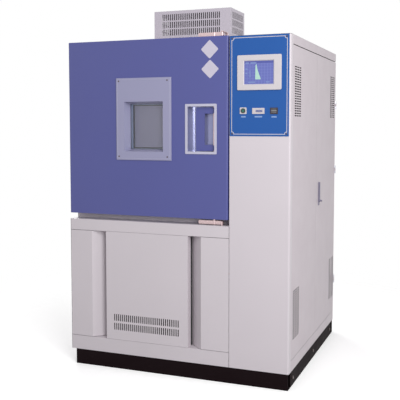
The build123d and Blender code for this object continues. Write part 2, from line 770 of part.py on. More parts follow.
def chamber_insulation():
    """Foam round the liner, under the roof sheet and over the deck."""
    y1 = CAVITY_Y1 + BACK_WALL
    foam = block(LEFT + SHEET, COLUMN_X - SHEET, BODY_Y + FRAME_T, y1, LEDGE_Z, HEIGHT - SHEET)
    wall = LINER_T
    foam -= block(
        CAVITY_X0 - wall,
        CAVITY_X1 + wall,
        BODY_Y,
        CAVITY_Y1 + wall,
        CAVITY_Z0 - wall,
        CAVITY_Z1 + wall,
    )
    foam -= rod_z(FAN_X, FAN_Y, CAVITY_Z1, HEIGHT, SLEEVE_R)
    foam -= rod_x(LEFT, CAVITY_X0, PORT_Y, PORT_Z, PORT_R + PORT_WALL)
    for x in pipe_holes():
        foam -= rod_y(x, CAVITY_Y1, y1 + 5, CAVITY_Z0 + 90, PIPE_R + 1)
    return foam


def air_baffle():
    """Stainless duct wall: a ceiling with the fan inlet and a back wall with outlet slots."""
    path = [(BAFFLE_FRONT_Y, BAFFLE_Z), (BAFFLE_Y, BAFFLE_Z), (BAFFLE_Y, CAVITY_Z0 + 30)]
    x0 = CAVITY_X0 + BAFFLE_GAP
    wide = CAVITY_X1 - CAVITY_X0 - 2 * BAFFLE_GAP
    baffle = side_sheet(strip(path, BAFFLE_T), x0, wide)
    baffle -= rod_z(FAN_X, FAN_Y, BAFFLE_Z - 5, BAFFLE_Z + 5, IMPELLER_R * 0.72)
    for row in range(3):
        for column in range(8):
            x = x0 + 60 + column * 75
            z = CAVITY_Z0 + 380 + row * 40
            baffle -= block(x, x + 50, BAFFLE_Y - 5, BAFFLE_Y + 5, z, z + 16)
    return baffle


def shelf(z0):
    """Wire shelf lying in the rail notches at height z0."""
    x0 = CAVITY_X0 + 4
    x1 = CAVITY_X1 - 4
    rod = SHELF_ROD
    outline = area(x0, x1, SHELF_Y0, SHELF_Y1)
    outline -= area(x0 + rod, x1 - rod, SHELF_Y0 + rod, SHELF_Y1 - rod)
    rack = flat_sheet(outline, z0, rod)
    bars = []
    count = 19
    step = (x1 - x0 - rod) / (count + 1)
    for i in range(count):
        x = x0 + rod / 2 + step * (i + 1)
        half = SHELF_BAR / 2
        bars.append(block(x - half, x + half, SHELF_Y0 + 1, SHELF_Y1 - 1, z0 + rod, z0 + rod + SHELF_BAR))
    for y in (SHELF_Y0 + 180, SHELF_Y1 - 180):
        bars.append(block(x0 + 1, x1 - 1, y - 3, y + 3, z0, z0 + rod))
    return rack + bars


def shelves():
    """The two identical wire shelves."""
    return Compound(children=[shelf(z) for z in SHELF_Z])


def evaporator_coil():
    """Finned cooling coil in the duct behind the baffle, with its two pipe ends."""
    x0 = CAVITY_X0 + 60
    x1 = CAVITY_X1 - 120
    y0 = BAFFLE_Y + 35
    y1 = CAVITY_Y1 - 30
    z0 = CAVITY_Z0 + 40
    z1 = CAVITY_Z0 + 300
    coil = block(x0, x1, y0 + 12, y1 - 12, z0 + 15, z1 - 15)
    fins = []
    count = 18
    for i in range(count):
        x = x0 + 10 + i * (x1 - x0 - 20) / (count - 1)
        fins.append(block(x - 1, x + 1, y0, y1, z0, z1))
    feet = [block(x0 + 30, x0 + 40, y0 + 20, y1 - 20, CAVITY_Z0, z0 + 20)]
    feet.append(block(x1 - 40, x1 - 30, y0 + 20, y1 - 20, CAVITY_Z0, z0 + 20))
    middle = (y0 + y1) / 2
    return coil + fins + feet + rod_x(x1 - 15, pipe_holes()[0] - 10, middle, CAVITY_Z0 + 90, PIPE_R)


def heater_element():
    """Tubular heater bent to and fro above the coil."""
    x0 = CAVITY_X0 + 80
    x1 = CAVITY_X1 - 120
    y = (BAFFLE_Y + CAVITY_Y1) / 2
    z = CAVITY_Z0 + 350
    step = 30.0
    radius = 12.0
    points = [(x1 + 60, y, z), (x0, y, z), (x0, y, z + step), (x1, y, z + step)]
    points += [(x1, y, z + 2 * step), (x0, y, z + 2 * step)]
    points += [(x0, y, z + 3 * step), (x1 + 60, y, z + 3 * step)]
    path = FilletPolyline(*points, radius=radius)
    start = Plane(origin=points[0], z_dir=(-1, 0, 0))
    tube = sweep(start * Circle(4.5), path=path)
    flange = block(x1 + 40, x1 + 44, y - 20, y + 20, z - 20, z + 3 * step + 20)
    return tube + flange


def cable_port_plug():
    """Silicone plug of the cable port, with a grip outside."""
    x0 = LEFT - PLUG_FLANGE_T
    plug = rod_x(LEFT, CAVITY_X0 - LINER_T, PORT_Y, PORT_Z, PORT_R - PLUG_CLEAR)
    plug += rod_x(x0, LEFT, PORT_Y, PORT_Z, PORT_R + 9)
    grip = block(x0 - PLUG_GRIP_T, x0, PORT_Y - 6, PORT_Y + 6, PORT_Z - 18, PORT_Z + 18)
    return plug + grip


def shaft_sleeve():
    """Tube round the fan shaft through the roof insulation, with its lower seal."""
    z0 = CAVITY_Z1 + LINER_T
    tube = rod_z(FAN_X, FAN_Y, z0, HEIGHT, SLEEVE_R)
    tube -= rod_z(FAN_X, FAN_Y, z0 + 12, HEIGHT + 1, SLEEVE_R - 3)
    return tube - rod_z(FAN_X, FAN_Y, z0 - 1, z0 + 14, FAN_SHAFT_R + RUN_CLEAR)


def fan_motor():
    """Upright motor on the roof, with a foot flange, cooling ribs and terminal box."""
    half = [
        (FAN_SHAFT_R + RUN_CLEAR, HEIGHT),
        (MOTOR_R + 22, HEIGHT),
        (MOTOR_R + 22, HEIGHT + 8),
        (MOTOR_R - 6, HEIGHT + 14),
        (MOTOR_R - 6, HEIGHT + 130),
        (MOTOR_R - 22, HEIGHT + 145),
        (0, HEIGHT + 145),
        (0, HEIGHT + 70),
        (FAN_SHAFT_R + RUN_CLEAR, HEIGHT + 70),
    ]
    profile = make_face(Polyline(*[(r, 0, z) for r, z in half], close=True))
    motor = Pos(FAN_X, FAN_Y, 0) * revolve(profile, Axis.Z)
    ribs = []
    for i in range(16):
        rib = Pos(MOTOR_R - 6, 0, HEIGHT + 75) * Box(14, 3, 100)
        ribs.append(Pos(FAN_X, FAN_Y, 0) * Rot(0, 0, i * 22.5) * rib)
    box = block(FAN_X + MOTOR_R - 8, FAN_X + MOTOR_R + 35, FAN_Y - 30, FAN_Y + 30, HEIGHT + 50, HEIGHT + 105)
    return motor + ribs + box


def motor_cover():
    """Folded cover over the fan motor, with three rows of air slots on each side."""
    sheet = COVER_SHEET
    cover = block(COVER_X0, COVER_X1, COVER_Y0, COVER_Y1, HEIGHT, COVER_Z1)
    cover -= block(
        COVER_X0 + sheet, COVER_X1 - sheet, COVER_Y0 + sheet, COVER_Y1 - sheet, HEIGHT - 1, COVER_Z1 - sheet
    )
    front_cuts = []
    side_cuts = []
    middle = (COVER_X0 + COVER_X1) / 2
    half = COVER_SLOT_L / 2
    for z in COVER_SLOT_Z:
        for i in range(COVER_SLOTS):
            x = middle + COVER_SLOT_SHIFT + (i - (COVER_SLOTS - 1) / 2) * COVER_SLOT_PITCH
            front_cuts.append(area(x - SLOT_W / 2, x + SLOT_W / 2, z - half, z + half))
        for i in range(COVER_SIDE_SLOTS):
            y = FAN_Y + (i - (COVER_SIDE_SLOTS - 1) / 2) * COVER_SLOT_PITCH
            side_cuts.append(area(y - SLOT_W / 2, y + SLOT_W / 2, z - half, z + half))
    for cut in front_cuts:
        cover -= front_sheet(cut, COVER_Y0 - 1, sheet + 2)
    for cut in side_cuts:
        cover -= side_sheet(cut, COVER_X0 - 1, COVER_X1 - COVER_X0 + 2)
    return cover


def circulation_fan():
    """Radial fan wheel welded to its shaft: top plate, inlet ring, hub and leaning blades."""
    top = IMPELLER_Z0 + IMPELLER_H
    wheel = rod_z(0, 0, top - 3, top, IMPELLER_R)
    wheel += rod_z(0, 0, IMPELLER_Z0, top, 18)
    ring = rod_z(0, 0, IMPELLER_Z0, IMPELLER_Z0 + 3, IMPELLER_R)
    wheel += ring - rod_z(0, 0, IMPELLER_Z0 - 1, IMPELLER_Z0 + 4, IMPELLER_R * 0.7)
    blades = []
    for i in range(IMPELLER_BLADES):
        blade = Rot(0, 0, 40) * Box(48, 2.5, IMPELLER_H - 2)
        blade = Pos(IMPELLER_R * 0.82, 0, (IMPELLER_Z0 + top) / 2) * blade
        blades.append(Rot(0, 0, i * 360 / IMPELLER_BLADES) * blade)
    wheel = wheel + blades
    wheel += rod_z(0, 0, top - 1, HEIGHT + 69, FAN_SHAFT_R)
    return Pos(FAN_X, FAN_Y, 0) * wheel


def door_shell():
    """Outer door tray with rounded upright edges, cut for the window and the handle cup."""
    shell = block(DOOR_LEFT, DOOR_RIGHT, FRONT, FRONT + DOOR_T, DOOR_Z0, DOOR_Z1)
    edges = [e for e in shell.edges().filter_by(Axis.Z) if abs(e.center().Y - FRONT) < 0.01]
    shell = fillet(edges, DOOR_EDGE_R)
    sheet = DOOR_SHEET
    inner = door_core(0.0)
    shell -= inner
    shell -= block(OPEN_X0, OPEN_X1, FRONT - 1, FRONT + sheet + 1, OPEN_Z0, OPEN_Z1)
    frame = CUP_FRAME
    shell -= block(
        CUP_X0 + frame, CUP_X1 - frame, FRONT - 1, FRONT + sheet + 1, CUP_Z0 + frame, CUP_Z1 - frame
    )
    return shell - rod_z(SHAFT_X, SHAFT_Y, DOOR_Z0 - 1, DOOR_Z1 + 1, BUSH_R)


def door_core(gap):
    """Solid that fills the inside of the door shell, less a gap all round."""
    sheet = DOOR_SHEET + gap
    core = block(
        DOOR_LEFT + sheet,
        DOOR_RIGHT - sheet,
        FRONT + sheet,
        FRONT + DOOR_T + 1,
        DOOR_Z0 + sheet,
        DOOR_Z1 - sheet,
    )
    edges = [e for e in core.edges().filter_by(Axis.Z) if abs(e.center().Y - FRONT - sheet) < 0.01]
    return fillet(edges, DOOR_EDGE_R - sheet)


def plug_box(inset, depth_in):
    """Box of the door's inner plug, made smaller by inset on each side."""
    gap = PLUG_GAP + inset
    return block(
        CAVITY_X0 + gap,
        CAVITY_X1 - gap,
        FRONT + DOOR_T - DOOR_SHEET,
        FRONT + DOOR_T + PLUG_DEPTH - depth_in,
        CAVITY_Z0 + gap,
        CAVITY_Z1 - gap,
    )


def glazing_hole():
    """Opening through the foam and the inner panel behind the window."""
    return block(
        OPEN_X0 + SPLAY - GLASS_LAP,
        OPEN_X1 - SPLAY + GLASS_LAP,
        FRONT,
        FRONT + DOOR_T + PLUG_DEPTH + 1,
        OPEN_Z0 + SPLAY - GLASS_LAP,
        OPEN_Z1 - SPLAY + GLASS_LAP,
    )


def door_insulation():
    """Foam core of the door and of its plug, hollow for the window, the cup and the latch shaft."""
    foam = door_core(0.0) - block(
        DOOR_LEFT, DOOR_RIGHT, FRONT + DOOR_T - DOOR_SHEET, FRONT + DOOR_T + 2, DOOR_Z0, DOOR_Z1
    )
    foam += plug_box(DOOR_SHEET, DOOR_SHEET)
    foam -= glazing_hole()
    foam -= block(OPEN_X0 - 3, OPEN_X1 + 3, FRONT, GLASS_Y + GLASS_T, OPEN_Z0 - 3, OPEN_Z1 + 3)
    foam -= block(CUP_X0 + 5, CUP_X1 - 5, FRONT, FRONT + CUP_DEPTH + CUP_WALL, CUP_Z0 + 5, CUP_Z1 - 5)
    return foam - rod_z(SHAFT_X, SHAFT_Y, DOOR_Z0, DOOR_Z1, BUSH_R + 2)


def door_inner_panel():
    """Stainless inner face of the door, pressed out into a plug that enters the chamber mouth."""
    sheet = DOOR_SHEET
    panel = block(
        DOOR_LEFT + sheet,
        DOOR_RIGHT - sheet,
        FRONT + DOOR_T - sheet,
        FRONT + DOOR_T,
        DOOR_Z0 + sheet,
        DOOR_Z1 - sheet,
    )
    panel += plug_box(0.0, 0.0)
    panel -= plug_box(sheet, sheet)
    return panel - glazing_hole()


def door_gasket():
    """Rubber seal on the door's inner face, pressed on the chamber front."""
    out = GASKET_OUT
    y0 = FRONT + DOOR_T
    y1 = BODY_Y - SEAL_GAP
    x0 = CAVITY_X0 - out
    x1 = CAVITY_X1 + out
    z0 = CAVITY_Z0 - out
    z1 = CAVITY_Z1 + out
    wide = GASKET_W
    outline = area(x0, x1, z0, z1) - area(x0 + wide, x1 - wide, z0 + wide, z1 - wide)
    base = front_sheet(outline, y0, 5)
    lip = area(x0 + 5, x1 - 5, z0 + 5, z1 - 5)
    lip -= area(x0 + wide - 5, x1 - wide + 5, z0 + wide - 5, z1 - wide + 5)
    return base + front_sheet(lip, y0 + 5, y1 - y0 - 5)


def window_frame():
    """Window surround: a proud plate with walls that splay in to the glass."""
    plate = front_sheet(
        area(WINDOW_X0, WINDOW_X1, WINDOW_Z0, WINDOW_Z1), FRONT - WINDOW_PROUD, WINDOW_PROUD
    )
    rim = [e for e in plate.edges() if abs(e.center().Y - FRONT + WINDOW_PROUD) < 0.01]
    plate = fillet(rim, 2.5)
    y0 = FRONT - WINDOW_PROUD
    outer = funnel(0.0, y0, 0.0)
    inner = funnel(-SPLAY_WALL, y0, 1.0)
    return plate + outer - inner


def funnel(grow, y0, extra):
    """Tapered solid from the window opening in to the glass, grown outwards on each side."""
    first = area(OPEN_X0 - grow, OPEN_X1 + grow, OPEN_Z0 - grow, OPEN_Z1 + grow)
    low = first
    inner_grow = grow - SPLAY + SPLAY_WALL
    last = area(
        OPEN_X0 - inner_grow, OPEN_X1 + inner_grow, OPEN_Z0 - inner_grow, OPEN_Z1 + inner_grow
    )
    start = Plane.XZ.offset(-(y0 - extra)) * low
    end = Plane.XZ.offset(-(GLASS_Y + extra)) * last
    return loft([start, end])


def glass_area(lap):
    """Sketch of the glazing, which laps behind the splayed walls."""
    inner = SPLAY - lap
    return area(OPEN_X0 + inner, OPEN_X1 - inner, OPEN_Z0 + inner, OPEN_Z1 - inner)


def window_glass():
    """Three equal panes: behind the splayed walls, in the middle, and flush with the plug's inner face."""
    inner_y = FRONT + DOOR_T + PLUG_DEPTH - GLASS_T
    pane = glass_area(GLASS_LAP)
    return Compound(children=[front_sheet(pane, y, GLASS_T) for y in (GLASS_Y, MIDDLE_PANE_Y, inner_y)])


def window_spacer():
    """Two hollow bars that keep the three panes apart."""
    gaps = (
        (GLASS_Y + GLASS_T, MIDDLE_PANE_Y),
        (MIDDLE_PANE_Y + GLASS_T, FRONT + DOOR_T + PLUG_DEPTH - GLASS_T),
    )
    section = glass_area(GLASS_LAP) - glass_area(-2.0)
    return Compound(children=[front_sheet(section, y0, y1 - y0) for y0, y1 in gaps])


def window_screws():
    """Four screws at the corners of the window surround."""
    screws = []
    y1 = FRONT - WINDOW_PROUD
    inner = WINDOW_SCREW_IN
    for x in (WINDOW_X0 + inner, WINDOW_X1 - inner - 6):
        for z in (WINDOW_Z0 + inner + 3, WINDOW_Z1 - inner):
            screws.append(rod_y(x, y1 - SCREW_T, y1, z, SCREW_R))
    return Compound(children=screws)


def handle_cup():
    """Moulded cup let into the door, with a proud rim and a rounded left wall."""
    frame = CUP_FRAME
    x0 = CUP_X0 + frame
    x1 = CUP_X1 - frame
    z0 = CUP_Z0 + frame
    z1 = CUP_Z1 - frame
    outline = Pos((CUP_X0 + CUP_X1) / 2, (CUP_Z0 + CUP_Z1) / 2) * RectangleRounded(
        CUP_X1 - CUP_X0, CUP_Z1 - CUP_Z0, 5
    )
    rim = front_sheet(outline, FRONT - CUP_PROUD, CUP_PROUD)
    y1 = FRONT + CUP_DEPTH
    body = block(x0, x1, FRONT, y1 + CUP_WALL, z0, z1)
    cup = rim + body
    wall = CUP_WALL
    hollow = block(x0 + wall, x1 - wall, FRONT - CUP_PROUD - 1, y1, z0 + wall, z1 - wall)
    edges = [e for e in hollow.edges().filter_by(Axis.Z) if abs(e.center().Y - y1) < 0.01]
    left_edge = [e for e in edges if e.center().X < (x0 + x1) / 2]
    right_edge = [e for e in edges if e.center().X > (x0 + x1) / 2]
    hollow = fillet(left_edge, 38)
    right_edge = [e for e in hollow.edges().filter_by(Axis.Z) if abs(e.center().Y - y1) < 0.01]
    right_edge = [e for e in right_edge if abs(e.center().X - x1 + wall) < 0.01]
    hollow = fillet(right_edge, 6)
    cup -= hollow
    return cup - rod_z(SHAFT_X, SHAFT_Y, CUP_Z0, CUP_Z1, SHAFT_R + RUN_CLEAR)


def latch_bushings():
    """Flanged bushings that carry the latch shaft in the door's top and bottom edges."""
    bore = SHAFT_R + RUN_CLEAR
    low = rod_z(SHAFT_X, SHAFT_Y, DOOR_Z0, DOOR_Z0 + 12, BUSH_R)
    low += rod_z(SHAFT_X, SHAFT_Y, DOOR_Z0 - 1, DOOR_Z0, BUSH_R + 3)
    low -= rod_z(SHAFT_X, SHAFT_Y, DOOR_Z0 - 3, DOOR_Z0 + 15, bore)
    high = rod_z(SHAFT_X, SHAFT_Y, DOOR_Z1 - 12, DOOR_Z1, BUSH_R)
    high += rod_z(SHAFT_X, SHAFT_Y, DOOR_Z1, DOOR_Z1 + 1, BUSH_R + 3)
    high -= rod_z(SHAFT_X, SHAFT_Y, DOOR_Z1 - 15, DOOR_Z1 + 3, bore)
    return Compound(children=[low, high])


def handle_lever():
    """Flat pull plate with a cut-out, on two eyes round the shaft."""
    y1 = LEVER_Y + LEVER_T
    outline = area(LEVER_X0, LEVER_X1, LEVER_Z0, LEVER_Z1)
    corners = [v for v in outline.vertices() if abs(v.X - LEVER_X0) < 0.01]
    outline = fillet(corners, LEVER_R)
    outline -= area(LEVER_CUT_X, LEVER_X1 + 1, LEVER_CUT_Z0, LEVER_CUT_Z1)
    lever = front_sheet(outline, LEVER_Y, LEVER_T)
    for z0, z1 in ((LEVER_Z0 + 3, LEVER_CUT_Z0 - 3), (LEVER_CUT_Z1 + 3, LEVER_Z1 - 3)):
        lever += rod_z(SHAFT_X, SHAFT_Y, z0, z1, SHAFT_R + LEVER_EYE)
        lever += block(LEVER_X1 - 8, SHAFT_X, LEVER_Y, y1, z0, z1)
    return lever - rod_z(SHAFT_X, SHAFT_Y, LEVER_Z0 - 5, LEVER_Z1 + 5, SHAFT_R)


def latch_bar(z0):
    """One latch bar round the shaft, with rounded ends."""
    middle = (LATCH_X0 + LATCH_X1) / 2
    y = LATCH_Y + LATCH_T / 2
    bar = Pos(middle, y, z0 + LATCH_H / 2) * Box(LATCH_X1 - LATCH_X0, LATCH_T, LATCH_H)
    bar = fillet(bar.edges().filter_by(Axis.Y), 6)
    return bar - rod_z(SHAFT_X, SHAFT_Y, z0 - 1, z0 + LATCH_H + 1, SHAFT_R)


def latch_shaft():
    """Upright shaft through the door, with the lower and the upper latch bar welded on its ends."""
    shaft = rod_z(SHAFT_X, SHAFT_Y, LATCH_LOW_Z, LATCH_TOP_Z + LATCH_H, SHAFT_R)
    return shaft + latch_bar(LATCH_LOW_Z) + latch_bar(LATCH_TOP_Z)


def keeper_y():
    """Y of the keeper pins, just in front of the latch bars."""
    return LATCH_Y - KEEPER_R - KEEPER_GAP


def latch_keepers():
    """Keeper pins in front of the latch bars: one in the ledge, one on an arm from the roof."""
    x = LATCH_X1 - KEEPER_IN
    y = keeper_y()
    low = rod_z(x, y, LEDGE_Z - SHEET, LATCH_LOW_Z + LATCH_H - 2, KEEPER_R)
    low += rod_z(x, y, LEDGE_Z - SHEET - KEEPER_HEAD_T, LEDGE_Z - SHEET, KEEPER_R + KEEPER_HEAD)
    half = KEEPER_ARM_W / 2
    arm_z = LATCH_TOP_Z + LATCH_H + 1
    high = rod_z(x, y, LATCH_TOP_Z, arm_z + KEEPER_ARM_T, KEEPER_R)
    high += block(x - half, x + half, y - half, BODY_Y + KEEPER_FOOT, arm_z, arm_z + KEEPER_ARM_T)
    high += block(x - half, x + half, BODY_Y, BODY_Y + KEEPER_FOOT, HEIGHT, arm_z + KEEPER_ARM_T)
    return Compound(children=[low, high])


def hinge_cutaway(z, gap):
    """Middle third of a door hinge, where the door's knuckle runs."""
    third = HINGE_H / 3
    return block(
        HINGE_X - HINGE_R - 1, LEFT, HINGE_Y - HINGE_R - 1, HINGE_Y + HINGE_R + 3,
        z - third / 2 - gap, z + third / 2 + gap,
    )


def door_hinge_body():
    """Hinge leaves on the cabinet's left side, each with two knuckles and the pin through them."""
    leaves = []
    for z in HINGE_Z:
        half = HINGE_H / 2
        leaf = block(LEFT - HINGE_LEAF_T, LEFT, BODY_Y + 4, BODY_Y + 4 + HINGE_LEAF_L, z - half, z + half)
        leaf += block(LEFT - HINGE_OUT, LEFT, HINGE_Y + 3, BODY_Y + 5, z - half, z + half)
        leaf += rod_z(HINGE_X, HINGE_Y, z - half, z + half, HINGE_R)
        leaf -= hinge_cutaway(z, JOINT_GAP)
        leaf += rod_z(HINGE_X, HINGE_Y, z - half, z + half, HINGE_PIN_R)
        leaves.append(leaf)
    return Compound(children=leaves)


def door_hinge_leaves():
    """Hinge leaves on the door's left edge, each with the middle knuckle."""
    leaves = []
    for z in HINGE_Z:
        half = HINGE_H / 6 - JOINT_GAP
        leaf = rod_z(HINGE_X, HINGE_Y, z - half, z + half, HINGE_R)
        leaf += block(HINGE_X, DOOR_LEFT, FRONT + 18, HINGE_Y, z - half, z + half)
        leaf -= block(HINGE_X - 20, DOOR_LEFT - HINGE_LEAF_T, FRONT, HINGE_Y - HINGE_R, z - half, z + half)
        leaf -= block(DOOR_LEFT, LEFT + 20, FRONT, HINGE_Y + 30, z - half, z + half)
        leaf -= rod_z(HINGE_X, HINGE_Y, z - half - 1, z + half + 1, HINGE_PIN_R + RUN_CLEAR)
        leaves.append(leaf)
    return Compound(children=leaves)


def control_panel():
    """Front plate of the controls, cut for the screen, the meter, the switch and the limit unit."""
    outline = area(PANEL_X0, PANEL_X1, PANEL_Z0, PANEL_Z1)
    outline -= area(BEZEL_X0 + 10, BEZEL_X1 - 10, BEZEL_Z0 + 10, BEZEL_Z1 - 10)
    outline -= area(METER_X0 + 4, METER_X1 - 4, METER_Z0 + 3, METER_Z1 - 3)
    outline -= area(LIMIT_X0 + 4, LIMIT_X1 - 4, LIMIT_Z0 + 3, LIMIT_Z1 - 3)
    outline -= Pos(BUTTON_X, BUTTON_Z) * Circle(BUTTON_R + 2)
    return front_sheet(outline, FRONT - PANEL_T, PANEL_T)


def panel_screws():
    """Screws at the corners of the control panel."""
    screws = []
    y1 = FRONT - PANEL_T
    inner = PANEL_SCREW_IN
    for x in (PANEL_X0 + inner, PANEL_X1 - inner):
        for z in (PANEL_Z0 + inner, (PANEL_Z0 + PANEL_Z1) / 2, PANEL_Z1 - inner):
            screws.append(rod_y(x, y1 - SCREW_T, y1, z, SCREW_R))
    return Compound(children=screws)


def screen_bezel():
    """Surround and back case of the touch screen, with a sloped inner edge."""
    y0 = FRONT - PANEL_T - BEZEL_T
    frame = front_sheet(
        Pos((BEZEL_X0 + BEZEL_X1) / 2, (BEZEL_Z0 + BEZEL_Z1) / 2)
        * RectangleRounded(BEZEL_X1 - BEZEL_X0, BEZEL_Z1 - BEZEL_Z0, 7),
        y0,
        BEZEL_T,
    )
    rim = [e for e in frame.edges() if abs(e.center().Y - y0) < 0.01]
    frame = fillet(rim, 2.5)
    case = block(BEZEL_X0 + 10, BEZEL_X1 - 10, FRONT - PANEL_T, FRONT + 42, BEZEL_Z0 + 10, BEZEL_Z1 - 10)
    frame += case
    lap = LCD_LAP
    frame -= block(LCD_X0 - lap, LCD_X1 + lap, y0 + 4, y0 + 4 + LCD_T, LCD_Z0 - lap, LCD_Z1 + lap)
    wide = area(LCD_X0 - 4, LCD_X1 + 4, LCD_Z0 - 4, LCD_Z1 + 4)
    small = area(LCD_X0, LCD_X1, LCD_Z0, LCD_Z1)
    mouth = loft([Plane.XZ.offset(-(y0 - 0.01)) * wide, Plane.XZ.offset(-(y0 + 4)) * small])
    return frame - mouth


def lcd_screen():
    """Screen glass in the bezel's pocket."""
    y0 = FRONT - PANEL_T - BEZEL_T + 4
    lap = LCD_LAP
    return block(LCD_X0 - lap, LCD_X1 + lap, y0, y0 + LCD_T, LCD_Z0 - lap, LCD_Z1 + lap)


def power_switch_body():
    """Square collar and barrel of the power switch."""
    y0 = FRONT - PANEL_T - BUTTON_T
    collar = front_sheet(
        Pos(BUTTON_X, BUTTON_Z) * RectangleRounded(BUTTON_W, BUTTON_H, 4), y0, BUTTON_T
    )
    barrel = rod_y(BUTTON_X, FRONT - PANEL_T, FRONT + 34, BUTTON_Z, BUTTON_R + 2)
    return collar + barrel - rod_y(BUTTON_X, y0 - 1, FRONT + 20, BUTTON_Z, BUTTON_R + RUN_CLEAR)


def power_button():
    """Round push cap of the power switch."""
    y0 = FRONT - PANEL_T - BUTTON_T - BUTTON_TRAVEL + 0.5
    cap = rod_y(BUTTON_X, y0, FRONT + 12, BUTTON_Z, BUTTON_R)
    edge = [e for e in cap.edges() if abs(e.center().Y - y0) < 0.01]
    return fillet(edge, 1.5)


def hour_meter():
    """Running-hours counter: a flanged body through the control panel."""
    y0 = FRONT - PANEL_T - DEVICE_PROUD
    body = block(METER_X0, METER_X1, y0, FRONT - PANEL_T, METER_Z0, METER_Z1)
    body += block(METER_X0 + 4, METER_X1 - 4, FRONT - PANEL_T, FRONT + 40, METER_Z0 + 3, METER_Z1 - 3)
    return body - block(RIGHT - 175, RIGHT - 141, y0 - 1, y0 + 1, 1373.6, 1385)


def limit_unit():
    """Over-temperature limiter with a sunk three-digit face."""
    y0 = FRONT - PANEL_T - DEVICE_PROUD
    body = block(LIMIT_X0, LIMIT_X1, y0, FRONT - PANEL_T, LIMIT_Z0, LIMIT_Z1)
    body += block(LIMIT_X0 + 4, LIMIT_X1 - 4, FRONT - PANEL_T, FRONT + 50, LIMIT_Z0 + 3, LIMIT_Z1 - 3)
    return body - block(LIMIT_X0 + 4, LIMIT_X1 - 4, y0 - 1, y0 + 1, LIMIT_Z0 + 8, LIMIT_Z1 - 8)


def switchgear():
    """Mounting plate on stand-offs, with contactors, relays, the main breaker and terminals."""
    x0 = COLUMN_X + 15
    gear = block(x0, x0 + 3, FRONT + 140, FRONT + 520, 900, 1600)
    items = []
    for y in (FRONT + 165, FRONT + 495):
        for z in (930, 1570):
            items.append(rod_x(COLUMN_X, x0 + 1, y, z, 6))
    for i in range(4):
        y = FRONT + 170 + i * 62
        items.append(block(x0 + 2, x0 + 80, y, y + 48, 1420, 1500))
        items.append(block(x0 + 2, x0 + 60, y + 6, y + 42, 1300, 1360))
    items.append(block(x0 + 2, x0 + 70, FRONT + 430, FRONT + 500, 1420, 1510))
    items.append(block(x0 + 2, x0 + 10, FRONT + 155, FRONT + 505, 1010, 1045))
    for i in range(12):
        y = FRONT + 165 + i * 27
        items.append(block(x0 + 9, x0 + 45, y, y + 24, 1000, 1055))
    return gear + items



def compressor():
    """Hermetic compressor: domed shell round its pump and motor, on a foot plate with pipe stubs."""
    z0 = PLINTH_H + PAN_T + 20
    top = z0 + COMPRESSOR_H
    shell = rod_z(COMPRESSOR_X, COMPRESSOR_Y, z0, top, COMPRESSOR_R)
    shell = fillet(shell.edges(), 40)
    wall = COMPRESSOR_WALL
    inside = rod_z(COMPRESSOR_X, COMPRESSOR_Y, z0 + wall, top - wall, COMPRESSOR_R - wall)
    shell -= fillet(inside.edges(), 40 - wall)
    shell += rod_z(COMPRESSOR_X, COMPRESSOR_Y, z0 + wall - 1, z0 + PUMP_H, PUMP_R)
    foot = block(
        COMPRESSOR_X - 120, COMPRESSOR_X + 120, COMPRESSOR_Y - 90, COMPRESSOR_Y + 90, z0 - 5, z0
    )
    for x in (COMPRESSOR_X - 105, COMPRESSOR_X + 105):
        for y in (COMPRESSOR_Y - 75, COMPRESSOR_Y + 75):
            shell += rod_z(x, y, PLINTH_H + PAN_T, z0 - 4, 12)
    shell += foot + rod_z(COMPRESSOR_X, COMPRESSOR_Y, z0, z0 + 20, COMPRESSOR_R - 30)
    shell += rod_z(COMPRESSOR_X + 40, COMPRESSOR_Y, top - 6, top + 25, PIPE_R + 3)
    shell += rod_z(COMPRESSOR_X - 40, COMPRESSOR_Y, top - 6, top + 25, PIPE_R + 3)
    return shell


def condenser_coil():
    """Finned condenser block in front of the rear outlet."""
    y0 = COIL_Y1 - COIL_D
    coil = block(COIL_X0 + 6, COIL_X1 - 6, y0 + 12, COIL_Y1 - 12, COIL_Z0 + 10, COIL_Z1 - 10)
    fins = []
    for i in range(COIL_FINS):
        x = COIL_X0 + 12 + i * (COIL_X1 - COIL_X0 - 24) / (COIL_FINS - 1)
        fins.append(block(x - 1, x + 1, y0, COIL_Y1, COIL_Z0 + 4, COIL_Z1 - 4))
    ends = [block(COIL_X0, COIL_X0 + 3, y0, COIL_Y1, PLINTH_H + PAN_T, COIL_Z1)]
    ends.append(block(COIL_X1 - 3, COIL_X1, y0, COIL_Y1, PLINTH_H + PAN_T, COIL_Z1))
    ties = [block(COIL_X0, COIL_X1, y0 + 30, COIL_Y1 - 30, COIL_Z0 + 20, COIL_Z0 + 30)]
    ties.append(block(COIL_X0, COIL_X1, y0 + 30, COIL_Y1 - 30, COIL_Z1 - 30, COIL_Z1 - 20))
    return coil + fins + ends + ties


def rotor_centre():
    """X and Z of the condenser fan's axis."""
    return (COIL_X0 + COIL_X1) / 2, (COIL_Z0 + COIL_Z1) / 2


